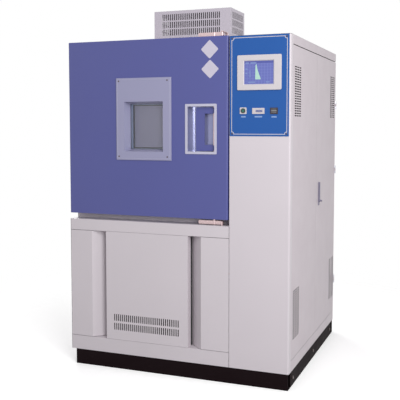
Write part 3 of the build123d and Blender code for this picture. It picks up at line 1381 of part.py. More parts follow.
def condenser_fan_frame():
    """Plate with a round throat in front of the condenser, with the fan motor on its bracket."""
    x, z = rotor_centre()
    y1 = COIL_Y1 - COIL_D
    throat_r = ROTOR_R + ROTOR_CLEAR
    outline = area(COIL_X0, COIL_X1, COIL_Z0, COIL_Z1)
    outline -= Pos(x, z) * Circle(throat_r)
    frame = front_sheet(outline, y1 - 3, 3)
    throat = Pos(x, z) * (Circle(throat_r + 3) - Circle(throat_r))
    frame += front_sheet(throat, y1 - SHROUD_T, SHROUD_T - 2)
    arm_y = y1 - SHROUD_T - 90
    frame += block(COIL_X0, COIL_X1, arm_y, arm_y + 5, z - 15, z + 15)
    frame += block(COIL_X0, COIL_X0 + 3, arm_y, y1 - 3, z - 15, z + 15)
    frame += block(COIL_X1 - 3, COIL_X1, arm_y, y1 - 3, z - 15, z + 15)
    frame += rod_y(x, arm_y, arm_y + 70, z, 40)
    return frame - rod_y(x, arm_y + 40, y1, z, 5 + RUN_CLEAR)


def condenser_rotor():
    """Axial fan rotor with a hub, a stub shaft and five pitched blades."""
    x, z = rotor_centre()
    y1 = COIL_Y1 - COIL_D - 8
    hub = Cylinder(32, 24)
    blades = []
    for i in range(5):
        blade = Pos(88, 0, 0) * Rot(28, 0, 0) * Box(130, 62, 2.5)
        blade = blade & Cylinder(ROTOR_R, 60)
        blades.append(Rot(0, 0, i * 72) * blade)
    rotor = hub + blades
    rotor = Pos(x, y1 - 16, z) * Rot(90, 0, 0) * rotor
    return rotor + rod_y(x, COIL_Y1 - COIL_D - SHROUD_T - 48, y1 - 16, z, 5)


def pipe(points, radius, bend):
    """Round tube, drawn solid, through the given points."""
    path = FilletPolyline(*points, radius=bend)
    first = Vector(*points[0])
    second = Vector(*points[1])
    return sweep(Plane(origin=points[0], z_dir=second - first) * Circle(radius), path=path)


def refrigerant_pipes():
    """Pipes between compressor, condenser and evaporator, and the upright liquid receiver."""
    top = PLINTH_H + PAN_T + 20 + COMPRESSOR_H + 25
    back = RISER_Y
    hot = pipe(
        [
            (COMPRESSOR_X + 40, COMPRESSOR_Y, top),
            (COMPRESSOR_X + 40, COMPRESSOR_Y, top + 60),
            (HOT_X, COMPRESSOR_Y, top + 60),
            (HOT_X, COIL_Y1 - COIL_D / 2, top + 60),
            (COIL_X1, COIL_Y1 - COIL_D / 2, top + 60),
        ],
        PIPE_R,
        20,
    )
    hole = pipe_holes()
    low = CAVITY_Z0 + 90
    suction = pipe(
        [
            (COMPRESSOR_X - 40, COMPRESSOR_Y, top),
            (COMPRESSOR_X - 40, COMPRESSOR_Y, top + 200),
            (hole[0], COMPRESSOR_Y, top + 200),
            (hole[0], back, top + 200),
            (hole[0], back, low),
            (hole[0], CAVITY_Y1 - 10, low),
        ],
        PIPE_R,
        20,
    )
    liquid = pipe(
        [
            (COIL_X1, COIL_Y1 - COIL_D / 2, COIL_Z0 + 60),
            (LIQUID_X, COIL_Y1 - COIL_D / 2, COIL_Z0 + 60),
            (LIQUID_X, back, COIL_Z0 + 60),
            (LIQUID_X, back, low),
            (hole[1], back, low),
            (hole[1], CAVITY_Y1 - 10, low),
        ],
        PIPE_R * 0.7,
        10,
    )
    z0 = PLINTH_H + PAN_T
    tank = rod_z(RECEIVER_X, RECEIVER_Y, z0 + 6, z0 + 250, RECEIVER_R)
    tank = fillet(tank.edges(), 20)
    tank += block(RECEIVER_X - 50, RECEIVER_X + 50, RECEIVER_Y - 50, RECEIVER_Y + 50, z0, z0 + 8)
    return Compound(children=[hot, suction, liquid, tank])


def power_gland():
    """Cable gland in the back sheet, with a clear bore and no cable."""
    nut = front_sheet(Pos(GLAND_X, GLAND_Z) * RegularPolygon(20, 6), BACK, 7)
    nut += rod_y(GLAND_X, BACK - 14, BACK + REAR_PROUD - 0.5, GLAND_Z, GLAND_BORE_R + 4)
    nut += front_sheet(Pos(GLAND_X, GLAND_Z) * RegularPolygon(20, 6), BACK - SHEET - 6, 6)
    return nut - rod_y(GLAND_X, BACK - 30, BACK + 30, GLAND_Z, GLAND_BORE_R)


PARTS = {
    "base_plinth": base_plinth(),
    "plinth_bolts": plinth_bolts(),
    "base_pan": base_pan(),
    "left_side_panel": left_side_panel(),
    "rear_panel": rear_panel(),
    "roof_panel": roof_panel(),
    "column_shell": column_shell(),
    "chamber_case": chamber_case(),
    "side_frame": side_frame(),
    "side_panel": side_panel(),
    "side_door": side_door(),
    "side_hinge_body": side_hinge_body(),
    "side_handle_plate": side_handle_plate(),
    "side_handle_lever": side_handle_lever(),
    "front_top_rail": front_top_rail(),
    "front_bottom_rail": front_bottom_rail(),
    "bay_surround": bay_surround(),
    "access_panel": access_panel(),
    "body_front_frame": body_front_frame(),
    "chamber_liner": chamber_liner(),
    "chamber_insulation": chamber_insulation(),
    "air_baffle": air_baffle(),
    "shelves": shelves(),
    "evaporator_coil": evaporator_coil(),
    "heater_element": heater_element(),
    "cable_port_plug": cable_port_plug(),
    "shaft_sleeve": shaft_sleeve(),
    "fan_motor": fan_motor(),
    "motor_cover": motor_cover(),
    "circulation_fan": circulation_fan(),
    "door_shell": door_shell(),
    "door_insulation": door_insulation(),
    "door_inner_panel": door_inner_panel(),
    "door_gasket": door_gasket(),
    "window_frame": window_frame(),
    "window_glass": window_glass(),
    "window_spacer": window_spacer(),
    "window_screws": window_screws(),
    "handle_cup": handle_cup(),
    "latch_bushings": latch_bushings(),
    "latch_shaft": latch_shaft(),
    "handle_lever": handle_lever(),
    "latch_keepers": latch_keepers(),
    "door_hinge_body": door_hinge_body(),
    "door_hinge_leaves": door_hinge_leaves(),
    "control_panel": control_panel(),
    "panel_screws": panel_screws(),
    "screen_bezel": screen_bezel(),
    "lcd_screen": lcd_screen(),
    "power_switch_body": power_switch_body(),
    "power_button": power_button(),
    "hour_meter": hour_meter(),
    "limit_unit": limit_unit(),
    "switchgear": switchgear(),
    "compressor": compressor(),
    "condenser_coil": condenser_coil(),
    "condenser_fan_frame": condenser_fan_frame(),
    "condenser_rotor": condenser_rotor(),
    "refrigerant_pipes": refrigerant_pipes(),
    "power_gland": power_gland(),
}

os.makedirs("parts", exist_ok=True)
for name, shape in PARTS.items():
    export_step(shape, f"parts/{name}.step")
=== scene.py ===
"""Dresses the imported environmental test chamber: finishes, small fitted parts, light, floor and camera."""

import logging
import math
from dataclasses import dataclass
from enum import Enum

import bmesh
import bpy
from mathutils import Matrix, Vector


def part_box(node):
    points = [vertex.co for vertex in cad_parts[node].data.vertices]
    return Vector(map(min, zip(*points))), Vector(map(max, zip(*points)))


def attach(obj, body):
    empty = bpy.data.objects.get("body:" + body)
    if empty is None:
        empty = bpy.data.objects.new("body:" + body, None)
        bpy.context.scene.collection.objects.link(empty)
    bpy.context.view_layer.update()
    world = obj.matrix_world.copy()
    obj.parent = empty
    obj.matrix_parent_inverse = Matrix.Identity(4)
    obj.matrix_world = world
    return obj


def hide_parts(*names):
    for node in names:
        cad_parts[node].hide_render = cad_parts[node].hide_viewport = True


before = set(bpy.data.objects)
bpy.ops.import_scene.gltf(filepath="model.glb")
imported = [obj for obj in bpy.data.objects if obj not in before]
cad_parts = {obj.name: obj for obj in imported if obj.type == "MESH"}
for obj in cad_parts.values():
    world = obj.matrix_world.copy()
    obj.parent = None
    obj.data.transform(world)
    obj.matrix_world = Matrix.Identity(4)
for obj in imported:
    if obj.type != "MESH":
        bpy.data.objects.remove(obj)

LOG = logging.getLogger("chamber")
MM = 0.001
# Y of the middle pane's front face, in metres
MIDDLE_PANE = -0.475
Socket = bpy.types.NodeSocket
Material = bpy.types.Material
Mesh = bmesh.types.BMesh
Outline = list[tuple[float, float]]
Triple = tuple[float, float, float]


class Axis(Enum):
    """The direction that a brushed or finned surface runs in."""

    X = 0
    Y = 1
    Z = 2


# Colour and node helpers


def linear(code: str) -> tuple[float, float, float, float]:
    """Turns an sRGB hex colour into linear light.

    Args:
        code: Six hex digits, red first.

    Returns:
        Linear red, green and blue, with an alpha of 1.
    """
    parts = [int(code[i : i + 2], 16) / 255 for i in (0, 2, 4)]
    bent = [c / 12.92 if c <= 0.04045 else ((c + 0.055) / 1.055) ** 2.4 for c in parts]
    return (bent[0], bent[1], bent[2], 1.0)


def shade(code: str, factor: float) -> tuple[float, float, float, float]:
    """The linear colour of a hex code, made lighter or darker by a factor."""
    red, green, blue, alpha = linear(code)
    return (min(1.0, red * factor), min(1.0, green * factor), min(1.0, blue * factor), alpha)


def tones(code: str, dark: float, pale: float) -> dict[int, tuple[float, float, float, float]]:
    """A mix's two colours: a hex code made darker by one factor and paler by another."""
    return {6: shade(code, dark), 7: shade(code, pale)}


def spread(low: float, high: float) -> dict[int, float]:
    """A mapping's limits that take a noise, which lies mostly between 0.3 and 0.7, from low to high."""
    return {1: 0.3, 2: 0.7, 3: low, 4: high}


def per_metre(size_mm: float) -> float:
    """The texture scale whose features are size_mm across on the real surface."""
    return 1000 / size_mm


class Graph:
    """The node tree of one material, or of the world."""

    def __init__(self, name: str, tree: bpy.types.NodeTree | None = None) -> None:
        """Empties a new material's tree, or the world's, and adds its output node.

        Args:
            name: The material's name.
            tree: The world's node tree, where there is no material.
        """
        self.material = None if tree else bpy.data.materials.new(name)
        if self.material:
            self.material.use_nodes = True
        self.tree = tree or self.material.node_tree
        self.tree.nodes.clear()
        self.output = self.tree.nodes.new("ShaderNodeOutput" + ("World" if tree else "Material"))

    def add(self, kind: str, inputs: dict, out: int | str = 0, **settings: object) -> Socket:
        """Adds one node, sets its properties and fills or links its inputs.

        Args:
            kind: The node's type without the ShaderNode prefix.
            inputs: Values or sockets for the inputs, by name or number.
            out: Which of its outputs is wanted, by name or number.
            settings: Properties of the node itself.

        Returns:
            That output of the new node.
        """
        node = self.tree.nodes.new("ShaderNode" + kind)
        for name, value in settings.items():
            setattr(node, name, value)
        for name, value in inputs.items():
            if isinstance(value, Socket):
                self.tree.links.new(value, node.inputs[name])
            else:
                node.inputs[name].default_value = value
        return node.outputs[out]

    def finish(self, kind: str, inputs: dict) -> Material | None:
        """Adds the last shader and links it to the output.

        Args:
            kind: The shader's type without the ShaderNode prefix.
            inputs: Values or sockets for its inputs.

        Returns:
            The material, or None for the world.
        """
        self.tree.links.new(self.add(kind, inputs), self.output.inputs[0])
        return self.material


def beyond_box(graph: Graph, where: Socket, low: Vector, high: Vector) -> Socket:
    """Measures how far a point lies outside a box.

    Args:
        graph: The material that asks.
        where: The point.
        low: The box's lowest corner.
        high: The box's highest corner.

    Returns:
        The widest overshoot in metres, below nought within the box.
    """
    middle = graph.add("VectorMath", {0: where, 1: (low + high) / 2}, operation="SUBTRACT")
    size = graph.add("VectorMath", {0: middle}, operation="ABSOLUTE")
    over = graph.add("VectorMath", {0: size, 1: (high - low) / 2}, operation="SUBTRACT")
    reach = graph.add("SeparateXYZ", {"Vector": over}).node.outputs
    widest = graph.add("Math", {0: reach[0], 1: reach[1]}, operation="MAXIMUM")
    return graph.add("Math", {0: widest, 1: reach[2]}, operation="MAXIMUM")


def relief(graph: Graph, height: Socket, depth_mm: float, edge_mm: float) -> Socket:
    """Lays a pattern's relief over edges that are rounded by a small radius.

    Args:
        graph: The material that it is added to.
        height: The pattern.
        depth_mm: How deep the pattern goes.
        edge_mm: The radius of the edges.

    Returns:
        The surface's normal.
    """
    edge = graph.add("Bevel", {"Radius": edge_mm * MM}, samples=4)
    surface = {"Height": height, "Distance": depth_mm * MM, "Normal": edge}
    return graph.add("Bump", surface)


def white_rays(graph: Graph) -> Socket:
    """Marks the rays that see the white surroundings: the camera's, glossy ones and those through glass.

    Args:
        graph: The material or world that asks.

    Returns:
        A socket that is one on those rays and nought on the rest.
    """
    path = graph.add("LightPath", {}).node.outputs
    straight = {0: path["Is Camera Ray"], 1: path["Is Glossy Ray"]}
    looks = graph.add("Math", straight, operation="MAXIMUM")
    return graph.add("Math", {0: looks, 1: path["Is Transmission Ray"]}, operation="MAXIMUM")


# Finishes


@dataclass(frozen=True)
class PowderCoat:
    """Polyester powder baked on folded sheet steel: orange peel, soft edges and slow waves in the sheet.

    The powder doesn't reach inside a closed cabinet: within the lining box, given by its lowest and highest
    corners in millimetres, the sheet takes a near-black colour that is partly its priming coat and partly
    painted shade inside the cabinet.
    """

    name: str
    colour: str
    roughness: float = 0.42
    edge_mm: float = 1.2
    lining: tuple[Triple, Triple] | None = None
    primer_and_shade: str = "2E2B2D"
    ior: float = 1.5
    # How many times deeper the sheet's waves are than the peel
    wave_share: float = 18.0
    peel_depth_mm: float = 0.03

    def build(self) -> Material:
        """Makes the material.

        Returns:
            The node material.
        """
        graph = Graph(self.name)
        where = graph.add("TexCoord", {}, "Object")
        # Sheets wave over about 300 mm, which bends the soft highlights on the large panels.
        wave = graph.add("TexNoise", {"Vector": where, "Scale": per_metre(300), "Detail": 1.0})
        # Real orange peel is near 2 mm across and is kept at that size.
        peel = graph.add("TexNoise", {"Vector": where, "Scale": per_metre(2.2)})
        heights = {0: wave, 1: self.wave_share, 2: peel}
        height = graph.add("Math", heights, operation="MULTIPLY_ADD")
        # Handling leaves patches of a slightly different gloss about 90 mm across.
        patches = graph.add("TexNoise", {"Vector": where, "Scale": per_metre(90), "Detail": 3.0})
        limits = spread(self.roughness - 0.04, self.roughness + 0.05)
        gloss = graph.add("MapRange", {"Value": patches, **limits})
        colour = graph.add("Mix", {0: wave, **tones(self.colour, 0.975, 1.02)}, 2, data_type="RGBA")
        # Inside the lining box the near-black colour is partly the sheet's priming coat, partly painted
        # shade.
        if self.lining:
            low, high = (Vector(corner) * MM for corner in self.lining)
            beyond = beyond_box(graph, where, low, high)
            within = graph.add("Math", {0: beyond, 1: 0.0}, operation="LESS_THAN")
            coat_and_shade = {0: within, 6: colour, 7: linear(self.primer_and_shade)}
            colour = graph.add("Mix", coat_and_shade, 2, data_type="RGBA")
        return graph.finish("BsdfPrincipled", {
            "Base Color": colour,
            "Roughness": gloss,
            "IOR": self.ior,
            "Normal": relief(graph, height, self.peel_depth_mm, self.edge_mm),
        })


@dataclass(frozen=True)
class PolishedPressing:
    """Zinc pressing, lacquered lilac grey: a satin rim round a polished recess that mirrors soft streaks.

    The recess's darker, bluer colour is in part painted shade in the cup.
    """

    name: str
    rim: str
    recess: str
    # Y of the rim's front, in metres
    face: float
    rim_depth: float = 0.004

    def build(self) -> Material:
        """Makes the material.

        Returns:
            The node material.
        """
        graph = Graph(self.name)
        where = graph.add("TexCoord", {}, "Object")
        depth = graph.add("SeparateXYZ", {"Vector": where}, 1)
        # The buffing wheel stops at the rim's inner edge, so the change is sharp, about 1 mm.
        # The recess's darker colour starts at the same edge and is in part painted shade.
        edge = self.face + self.rim_depth
        buffed_and_shaded = graph.add("MapRange", {"Value": depth, 1: edge, 2: edge + 1.0 * MM})
        # Lacquer settles in soft clouds about 40 mm across.
        cloud = graph.add("TexNoise", {"Vector": where, "Scale": per_metre(40)})
        rim = graph.add("Mix", {0: cloud, **tones(self.rim, 0.96, 1.03)}, 2, data_type="RGBA")
        # The recess's darker, bluer tones are in part painted shade in the cup.
        recess = graph.add("Mix", {0: cloud, **tones(self.recess, 0.9, 1.1)}, 2, data_type="RGBA")
        return graph.finish("BsdfPrincipled", {
            "Base Color": graph.add("Mix", {0: buffed_and_shaded, 6: rim, 7: recess}, 2, data_type="RGBA"),
            "Metallic": graph.add("MapRange", {"Value": buffed_and_shaded, 3: 0.0, 4: 0.45}),
            "Roughness": graph.add("MapRange", {"Value": buffed_and_shaded, 3: 0.4, 4: 0.24}),
            "Normal": graph.add("Bevel", {"Radius": 1.0 * MM}, samples=4),
        })


@dataclass(frozen=True)
class BrushedSteel:
    """Austenitic stainless sheet ground along one direction: bright metal with fine streaks."""

    name: str
    colour: str = "C4C2BE"
    grain: Axis = Axis.X
    roughness: float = 0.34

    def build(self) -> Material:
        """Makes the material.

        Returns:
            The node material.
        """
        graph = Graph(self.name)
        where = graph.add("TexCoord", {}, "Object")
        scale = [1.0, 1.0, 1.0]
        # Grinding lines run some 60 mm, so the pattern is stretched by forty along the grain.
        scale[self.grain.value] = 0.025
        along = graph.add("Mapping", {"Vector": where, "Scale": scale})
        # Real lines are near 0.2 mm apart; 1.5 mm is drawn so that a render can hold them.
        streak = graph.add("TexNoise", {"Vector": along, "Scale": per_metre(1.5), "Detail": 3.0})
        limits = spread(self.roughness - 0.08, self.roughness + 0.08)
        gloss = graph.add("MapRange", {"Value": streak, **limits})
        return graph.finish("BsdfPrincipled", {
            "Base Color": graph.add("Mix", {0: streak, **tones(self.colour, 0.9, 1.06)}, 2, data_type="RGBA"),
            "Metallic": 1.0,
            "Roughness": gloss,
            "Anisotropic": 0.5,
            "Normal": relief(graph, streak, 0.02, 0.6),
        })


@dataclass(frozen=True)
class PlatedMetal:
    """Zinc or nickel plating, copper or mill aluminium: plain metal with a faint cloudy bloom."""

    name: str
    colour: str
    bloom: str
    roughness: float = 0.3
    edge_mm: float = 0.4

    def build(self) -> Material:
        """Makes the material.

        Returns:
            The node material.
        """
        graph = Graph(self.name)
        where = graph.add("TexCoord", {}, "Object")
        # The bath and later handling leave clouds about 12 mm across.
        cloud = graph.add("TexNoise", {"Vector": where, "Scale": per_metre(12), "Detail": 4.0})
        # The plating's crystals show as pits just under a millimetre across.
        pits = graph.add("TexNoise", {"Vector": where, "Scale": per_metre(0.9)})
        limits = spread(self.roughness - 0.07, self.roughness + 0.08)
        gloss = graph.add("MapRange", {"Value": cloud, **limits})
        metals = {0: cloud, 6: linear(self.colour), 7: linear(self.bloom)}
        return graph.finish("BsdfPrincipled", {
            "Base Color": graph.add("Mix", metals, 2, data_type="RGBA"),
            "Metallic": 1.0,
            "Roughness": gloss,
            "Normal": relief(graph, pits, 0.015, self.edge_mm),
        })


@dataclass(frozen=True)
class MouldedPlastic:
    """Injection-moulded ABS or nylon: an eroded tool leaves a fine satin grain."""

    name: str
    colour: str
    roughness: float = 0.45
    grain_mm: float = 0.7
    depth_mm: float = 0.02

    def build(self) -> Material:
        """Makes the material.

        Returns:
            The node material.
        """
        graph = Graph(self.name)
        where = graph.add("TexCoord", {}, "Object")
        fine = {"Vector": where, "Scale": per_metre(self.grain_mm)}
        grain = graph.add("TexNoise", fine)
        # The melt cools unevenly over some 25 mm, which shifts gloss and colour a little.
        flow = graph.add("TexNoise", {"Vector": where, "Scale": per_metre(25)})
        limits = spread(self.roughness - 0.04, self.roughness + 0.04)
        gloss = graph.add("MapRange", {"Value": flow, **limits})
        return graph.finish("BsdfPrincipled", {
            "Base Color": graph.add("Mix", {0: flow, **tones(self.colour, 0.96, 1.03)}, 2, data_type="RGBA"),
            "Roughness": gloss,
            "IOR": 1.53,
            "Normal": relief(graph, grain, self.depth_mm, 0.6),
        })


@dataclass(frozen=True)
class CelledFoam:
    """Rigid polyurethane foam or soft sponge: cut cells show as small pits."""

    name: str
    colour: str
    cell_mm: float = 2.0

    def build(self) -> Material:
        """Makes the material.

        Returns:
            The node material.
        """
        graph = Graph(self.name)
        where = graph.add("TexCoord", {}, "Object")
        cells = graph.add("TexVoronoi", {"Vector": where, "Scale": per_metre(self.cell_mm)})
        return graph.finish("BsdfPrincipled", {
            "Base Color": graph.add("Mix", {0: cells, **tones(self.colour, 0.8, 1.05)}, 2, data_type="RGBA"),
            "Roughness": 0.9,
            "IOR": 1.45,
            "Normal": graph.add("Bump", {"Height": cells, "Distance": 0.5 * MM}),
        })


@dataclass(frozen=True)
class FinnedCoil:
    """A stack of thin aluminium fins on copper tubes: bright edges, with painted shade in the dark gaps
    between.
    """

    name: str
    across: Axis = Axis.X
    # Real fins stand 2 mm apart; 4 mm is drawn so that a render can hold them.
    pitch_mm: float = 4.0
    # The gaps' dark colour is painted shade between the fins.
    gap_shade: str = "4A4C4E"
    edge: str = "C9CBCC"
    # The wave texture draws this many bands in a unit at a scale of one.
    bands_per_scale: float = 3.18

    def build(self) -> Material:
        """Makes the material.

        Returns:
            The node material.
        """
        graph = Graph(self.name)
        where = graph.add("TexCoord", {}, "Object")
        scale = per_metre(self.pitch_mm) / self.bands_per_scale
        bands = {"Vector": where, "Scale": scale}
        fins = graph.add("TexWave", bands, 1, bands_direction=self.across.name)
        # Knocks bend the fins in patches about 30 mm across.
        dents = graph.add("TexNoise", {"Vector": where, "Scale": per_metre(30)})
        # The wave mixes the fins' bright metal with painted shade in the gaps.
        metals = {0: fins, 6: linear(self.gap_shade), 7: linear(self.edge)}
        return graph.finish("BsdfPrincipled", {
            "Base Color": graph.add("Mix", metals, 2, data_type="RGBA"),
            "Metallic": 0.9,
            "Roughness": graph.add("MapRange", {"Value": dents, **spread(0.35, 0.5)}),
            "Normal": graph.add("Bump", {"Height": fins, "Distance": 1.0 * MM}),
        })


@dataclass(frozen=True)
class WindowPane:
    """Float glass: clear and faintly cool, with a mirror sheen and a pale film of painted light on the middle
    pane.
    """

    name: str
    tint: str = "F7F8FB"
    # The film is pale and diffuse: painted light that stands in for the lit chamber behind the glass.
    film: str = "DAD2F2"
    painted_light_share: float = 0.5
    film_y: float = MIDDLE_PANE

    def build(self) -> Material:
        """Makes the material.

        Returns:
            The node material.
        """
        graph = Graph(self.name)
        where = graph.add("TexCoord", {}, "Object")
        # The film of painted light is a little uneven over about 60 mm.
        cloud = graph.add("TexNoise", {"Vector": where, "Scale": per_metre(60)})
        clear = graph.add("BsdfTransparent", {"Color": linear(self.tint)})
        colour = graph.add("Mix", {0: cloud, **tones(self.film, 0.96, 1.04)}, 2, data_type="RGBA")
        film = graph.add("BsdfDiffuse", {"Color": colour})
        # Only the front of the middle pane, at film_y, carries the film: the other faces are clear.
        depth = graph.add("SeparateXYZ", {"Vector": where}, 1)
        on_face = graph.add("Math", {0: depth, 1: self.film_y, 2: 2.0 * MM}, operation="COMPARE")
        share = graph.add("MapRange", {"Value": on_face, 3: 0.0, 4: self.painted_light_share})
        body = graph.add("MixShader", {0: share, 1: clear, 2: film})
        mirror = graph.add("BsdfGlossy", {"Color": (1, 1, 1, 1), "Roughness": 0.03})
        fresnel = graph.add("Fresnel", {"IOR": 1.52})
        return graph.finish("MixShader", {0: fresnel, 1: body, 2: mirror})


@dataclass(frozen=True)
class ChartDisplay:
    """A lit liquid crystal screen that shows a plain grid and one filled curve, with no characters."""

    name: str
    x0: float
    x1: float
    z0: float
    z1: float
    ground: str = "5E66A8"
    line: str = "7078B6"
    curve: str = "A4C8BC"
    bar: str = "4C5296"
    # Shares of the screen's height: where the curve stands and where the bar on top starts
    base: float = 0.2
    bar_start: float = 0.9
    # Points of the curve, as shares of the screen's width and height
    trace: tuple[tuple[float, float], ...] = (
        (0.375, 0.0), (0.385, 0.8), (0.42, 0.87), (0.46, 0.6), (0.51, 0.42), (0.56, 0.26), (0.57, 0.0)
    )

    def build(self) -> Material:
        """Makes the material.

        Returns:
            The node material.
        """
        graph = Graph(self.name)
        where = graph.add("TexCoord", {}, "Object")
        split = graph.add("SeparateXYZ", {"Vector": where}).node.outputs
        across = graph.add("MapRange", {"Value": split[0], 1: self.x0, 2: self.x1})
        up = graph.add("MapRange", {"Value": split[2], 1: self.z0, 2: self.z1})
        # Ten by eight squares of about 15 mm each; lines are 1 mm wide, twice the real ones.
        squares = {
            "Vector": graph.add("CombineXYZ", {0: across, 1: up}),
            "Color1": linear(self.ground),
            "Color2": linear(self.ground),
            "Mortar": linear(self.line),
            "Scale": 1.0,
            "Mortar Size": 0.006,
            "Mortar Smooth": 0.2,
            "Brick Width": 0.1,
            "Row Height": 0.125,
        }
        grid = graph.add("TexBrick", squares, offset=0.0)
        profile = graph.add("FloatCurve", {"Value": across})
        points = profile.node.mapping.curves[0].points
        points[0].location = (0.0, 0.0)
        points[1].location = (1.0, 0.0)
        for x, y in self.trace:
            points.new(x, y)
        for point in points:
            point.handle_type = "VECTOR"
        profile.node.mapping.update()
        under = graph.add("Math", {0: profile, 1: up}, operation="GREATER_THAN")
        over = graph.add("Math", {0: up, 1: self.base}, operation="GREATER_THAN")
        inside = graph.add("Math", {0: under, 1: over}, operation="MULTIPLY")
        filled = graph.add("Mix", {0: inside, 6: grid, 7: linear(self.curve)}, 2, data_type="RGBA")
        on_bar = graph.add("Math", {0: up, 1: self.bar_start}, operation="GREATER_THAN")
        picture = graph.add("Mix", {0: on_bar, 6: filled, 7: linear(self.bar)}, 2, data_type="RGBA")
        return graph.finish("BsdfPrincipled", {
            "Base Color": picture,
            "Roughness": 0.25,
            "IOR": 1.49,
            "Emission Color": picture,
            "Emission Strength": 0.12,
        })


@dataclass(frozen=True)
class StudioFloor:
    """A matt white paper that keeps the soft contact shadow and otherwise meets the white backdrop."""

    name: str = "studio_floor"
    # The paper's grey to the camera, metal and glass, and the darker one with which it throws light back
    seen_grey: float = 0.9
    thrown_grey: float = 0.42
    lift: float = 0.35
    footprint: Triple = (0.6, 0.54, 0.0)
    fade_from: float = 1.1
    fade_to: float = 2.6

    def build(self) -> Material:
        """Makes the material.

        Returns:
            The node material.
        """
        graph = Graph(self.name)
        where = graph.add("TexCoord", {}, "Object")
        seen = white_rays(graph)
        thrown, shown = ((grey, grey, grey, 1.0) for grey in (self.thrown_grey, self.seen_grey))
        colour = graph.add("Mix", {0: seen, 6: thrown, 7: shown}, 2, data_type="RGBA")
        paint = graph.add("BsdfDiffuse", {"Color": colour})
        # Under the cabinet, inside its plinth, the paper stays dark.
        corner = Vector(self.footprint)
        beyond = beyond_box(graph, where, -corner, corner)
        open_floor = graph.add("Math", {0: beyond, 1: 0.0}, operation="GREATER_THAN")
        lit = graph.add("Math", {0: seen, 1: open_floor}, operation="MULTIPLY")
        lift = graph.add("Emission", {"Color": (1, 1, 1, 1), "Strength": self.lift})
        none = graph.add("Emission", {"Color": (0, 0, 0, 1), "Strength": 0.0})
        extra = graph.add("MixShader", {0: lit, 1: none, 2: lift})
        both = graph.add("AddShader", {0: paint, 1: extra})
        # Past about a metre the paper fades into the white backdrop, with no edge.
        reach = graph.add("VectorMath", {0: where}, "Value", operation="LENGTH")
        span = {"Value": reach, 1: self.fade_from, 2: self.fade_to}
        fade = graph.add("MapRange", span, interpolation_type="SMOOTHSTEP")
        gone = graph.add("BsdfTransparent", {"Color": (1, 1, 1, 1)})
        return graph.finish("MixShader", {0: fade, 1: both, 2: gone})


Finish = (
    PowderCoat | PolishedPressing | BrushedSteel | PlatedMetal | MouldedPlastic | CelledFoam | FinnedCoil
    | WindowPane | ChartDisplay | StudioFloor
)

# Each lining is the inside of its sheets, and starts 0.4 mm under the outer face.
# There the near-black colour is partly priming coat and partly painted shade.
CABINET_PAINT = PowderCoat("powder_coat_warm_grey", "D0C8CE")
SHEET_PAINT = PowderCoat(
    "powder_coat_warm_grey_outer", "D0C8CE", lining=((-614.6, -700.0, -1.0), (614.6, 553.6, 1749.6))
)
COLUMN_PAINT = PowderCoat(
    "powder_coat_warm_grey_column", "D0C8CE", lining=((305.5, -545.0, -1.0), (604.0, 551.7, 1740.0))
)
ACCESS_PAINT = PowderCoat(
    "powder_coat_warm_grey_access", "D0C8CE", lining=((-395.7, -555.6, 161.0), (74.7, -500.0, 741.0))
)
# A darker copy of the cabinet's warm grey: painted shade on the motor cover, which stands further back.
SHADED_COVER_PAINT = PowderCoat(
    "powder_coat_warm_grey_cover_shaded", "BFB8C3", lining=((-290.6, -155.6, 1752.5), (170.6, 79.6, 1956.6))
)
# A darker copy of the cabinet's warm grey for the side panel and side door: painted shade on the side.
SHADED_SIDE_PAINT = PowderCoat(
    "powder_coat_warm_grey_side_shaded",
    "CABFC6",
    edge_mm=3.0,
    lining=((-620.0, -513.0, -1.0), (614.6, 551.0, 1747.5)),
)
DOOR_PAINT = PowderCoat("powder_coat_slate_blue", "505492", 0.4)
FRAME_PAINT = PowderCoat("powder_coat_lilac_grey", "9695B3", 0.38)
# A paler copy of the frame's lilac grey for the rim line: a painted highlight along the surround's edge.
HIGHLIGHT_TRIM_PAINT = PowderCoat("powder_coat_lilac_grey_painted_highlight", "B4B3CC", 0.3)
# Primer, enamels and the panel's embossed film lie on their sheets with much the same fine peel.
INNER_PAINT = PowderCoat("primer_grey_steel", "56585C", 0.6)
PLINTH_PAINT = PowderCoat("stoved_enamel_black", "150B0E", 0.7, ior=1.16)
MOTOR_ENAMEL = PowderCoat("dipped_enamel_black", "1E2024", 0.3, 1.5)
PANEL_FILM = PowderCoat("screen_printed_film_blue", "084F9A", 0.4, 0.4)
LINER_STEEL = BrushedSteel("brushed_stainless_liner", grain=Axis.Z)
SHELF_STEEL = BrushedSteel("electropolished_stainless_wire", "CFCFD0", Axis.X, 0.24)
ZINC = PlatedMetal("zinc_plated_steel", "C8CBD0", "B4B2BE", 0.3)
NICKEL = PlatedMetal("satin_nickel_plate", "DCC6C6", "C8B0B2", 0.45)
BLACKED_STEEL = PlatedMetal("burnished_black_steel", "6A5E5C", "564C4C", 0.4)
COPPER = PlatedMetal("drawn_copper_tube", "C27A55", "A8623F", 0.28)
ALUMINIUM = PlatedMetal("mill_aluminium", "C4C6C8", "B2B4B8", 0.36)
PALE_PLASTIC = MouldedPlastic("moulded_abs_pale_grey", "CAC4C8")
METER_PLASTIC = MouldedPlastic("moulded_abs_white", "C8C0C4", 0.4)
DRUM_PLASTIC = MouldedPlastic("printed_drum_grey_blue", "7478A0", 0.4)
DARK_PLASTIC = MouldedPlastic("moulded_abs_black", "2E2226", 0.35)
HANDLE_PLASTIC = MouldedPlastic("moulded_nylon_grey", "7D788C", 0.45)
NYLON = MouldedPlastic("cast_nylon_natural", "E4DFD0", 0.5)
RELAY_PLASTIC = MouldedPlastic("moulded_polyamide_grey", "85878C", 0.5)
SPACER_PLASTIC = MouldedPlastic("extruded_spacer_grey", "8C8FA8", 0.4)
RUBBER = MouldedPlastic("moulded_silicone_rubber", "3A3A40", 0.7, 0.9, 0.03)
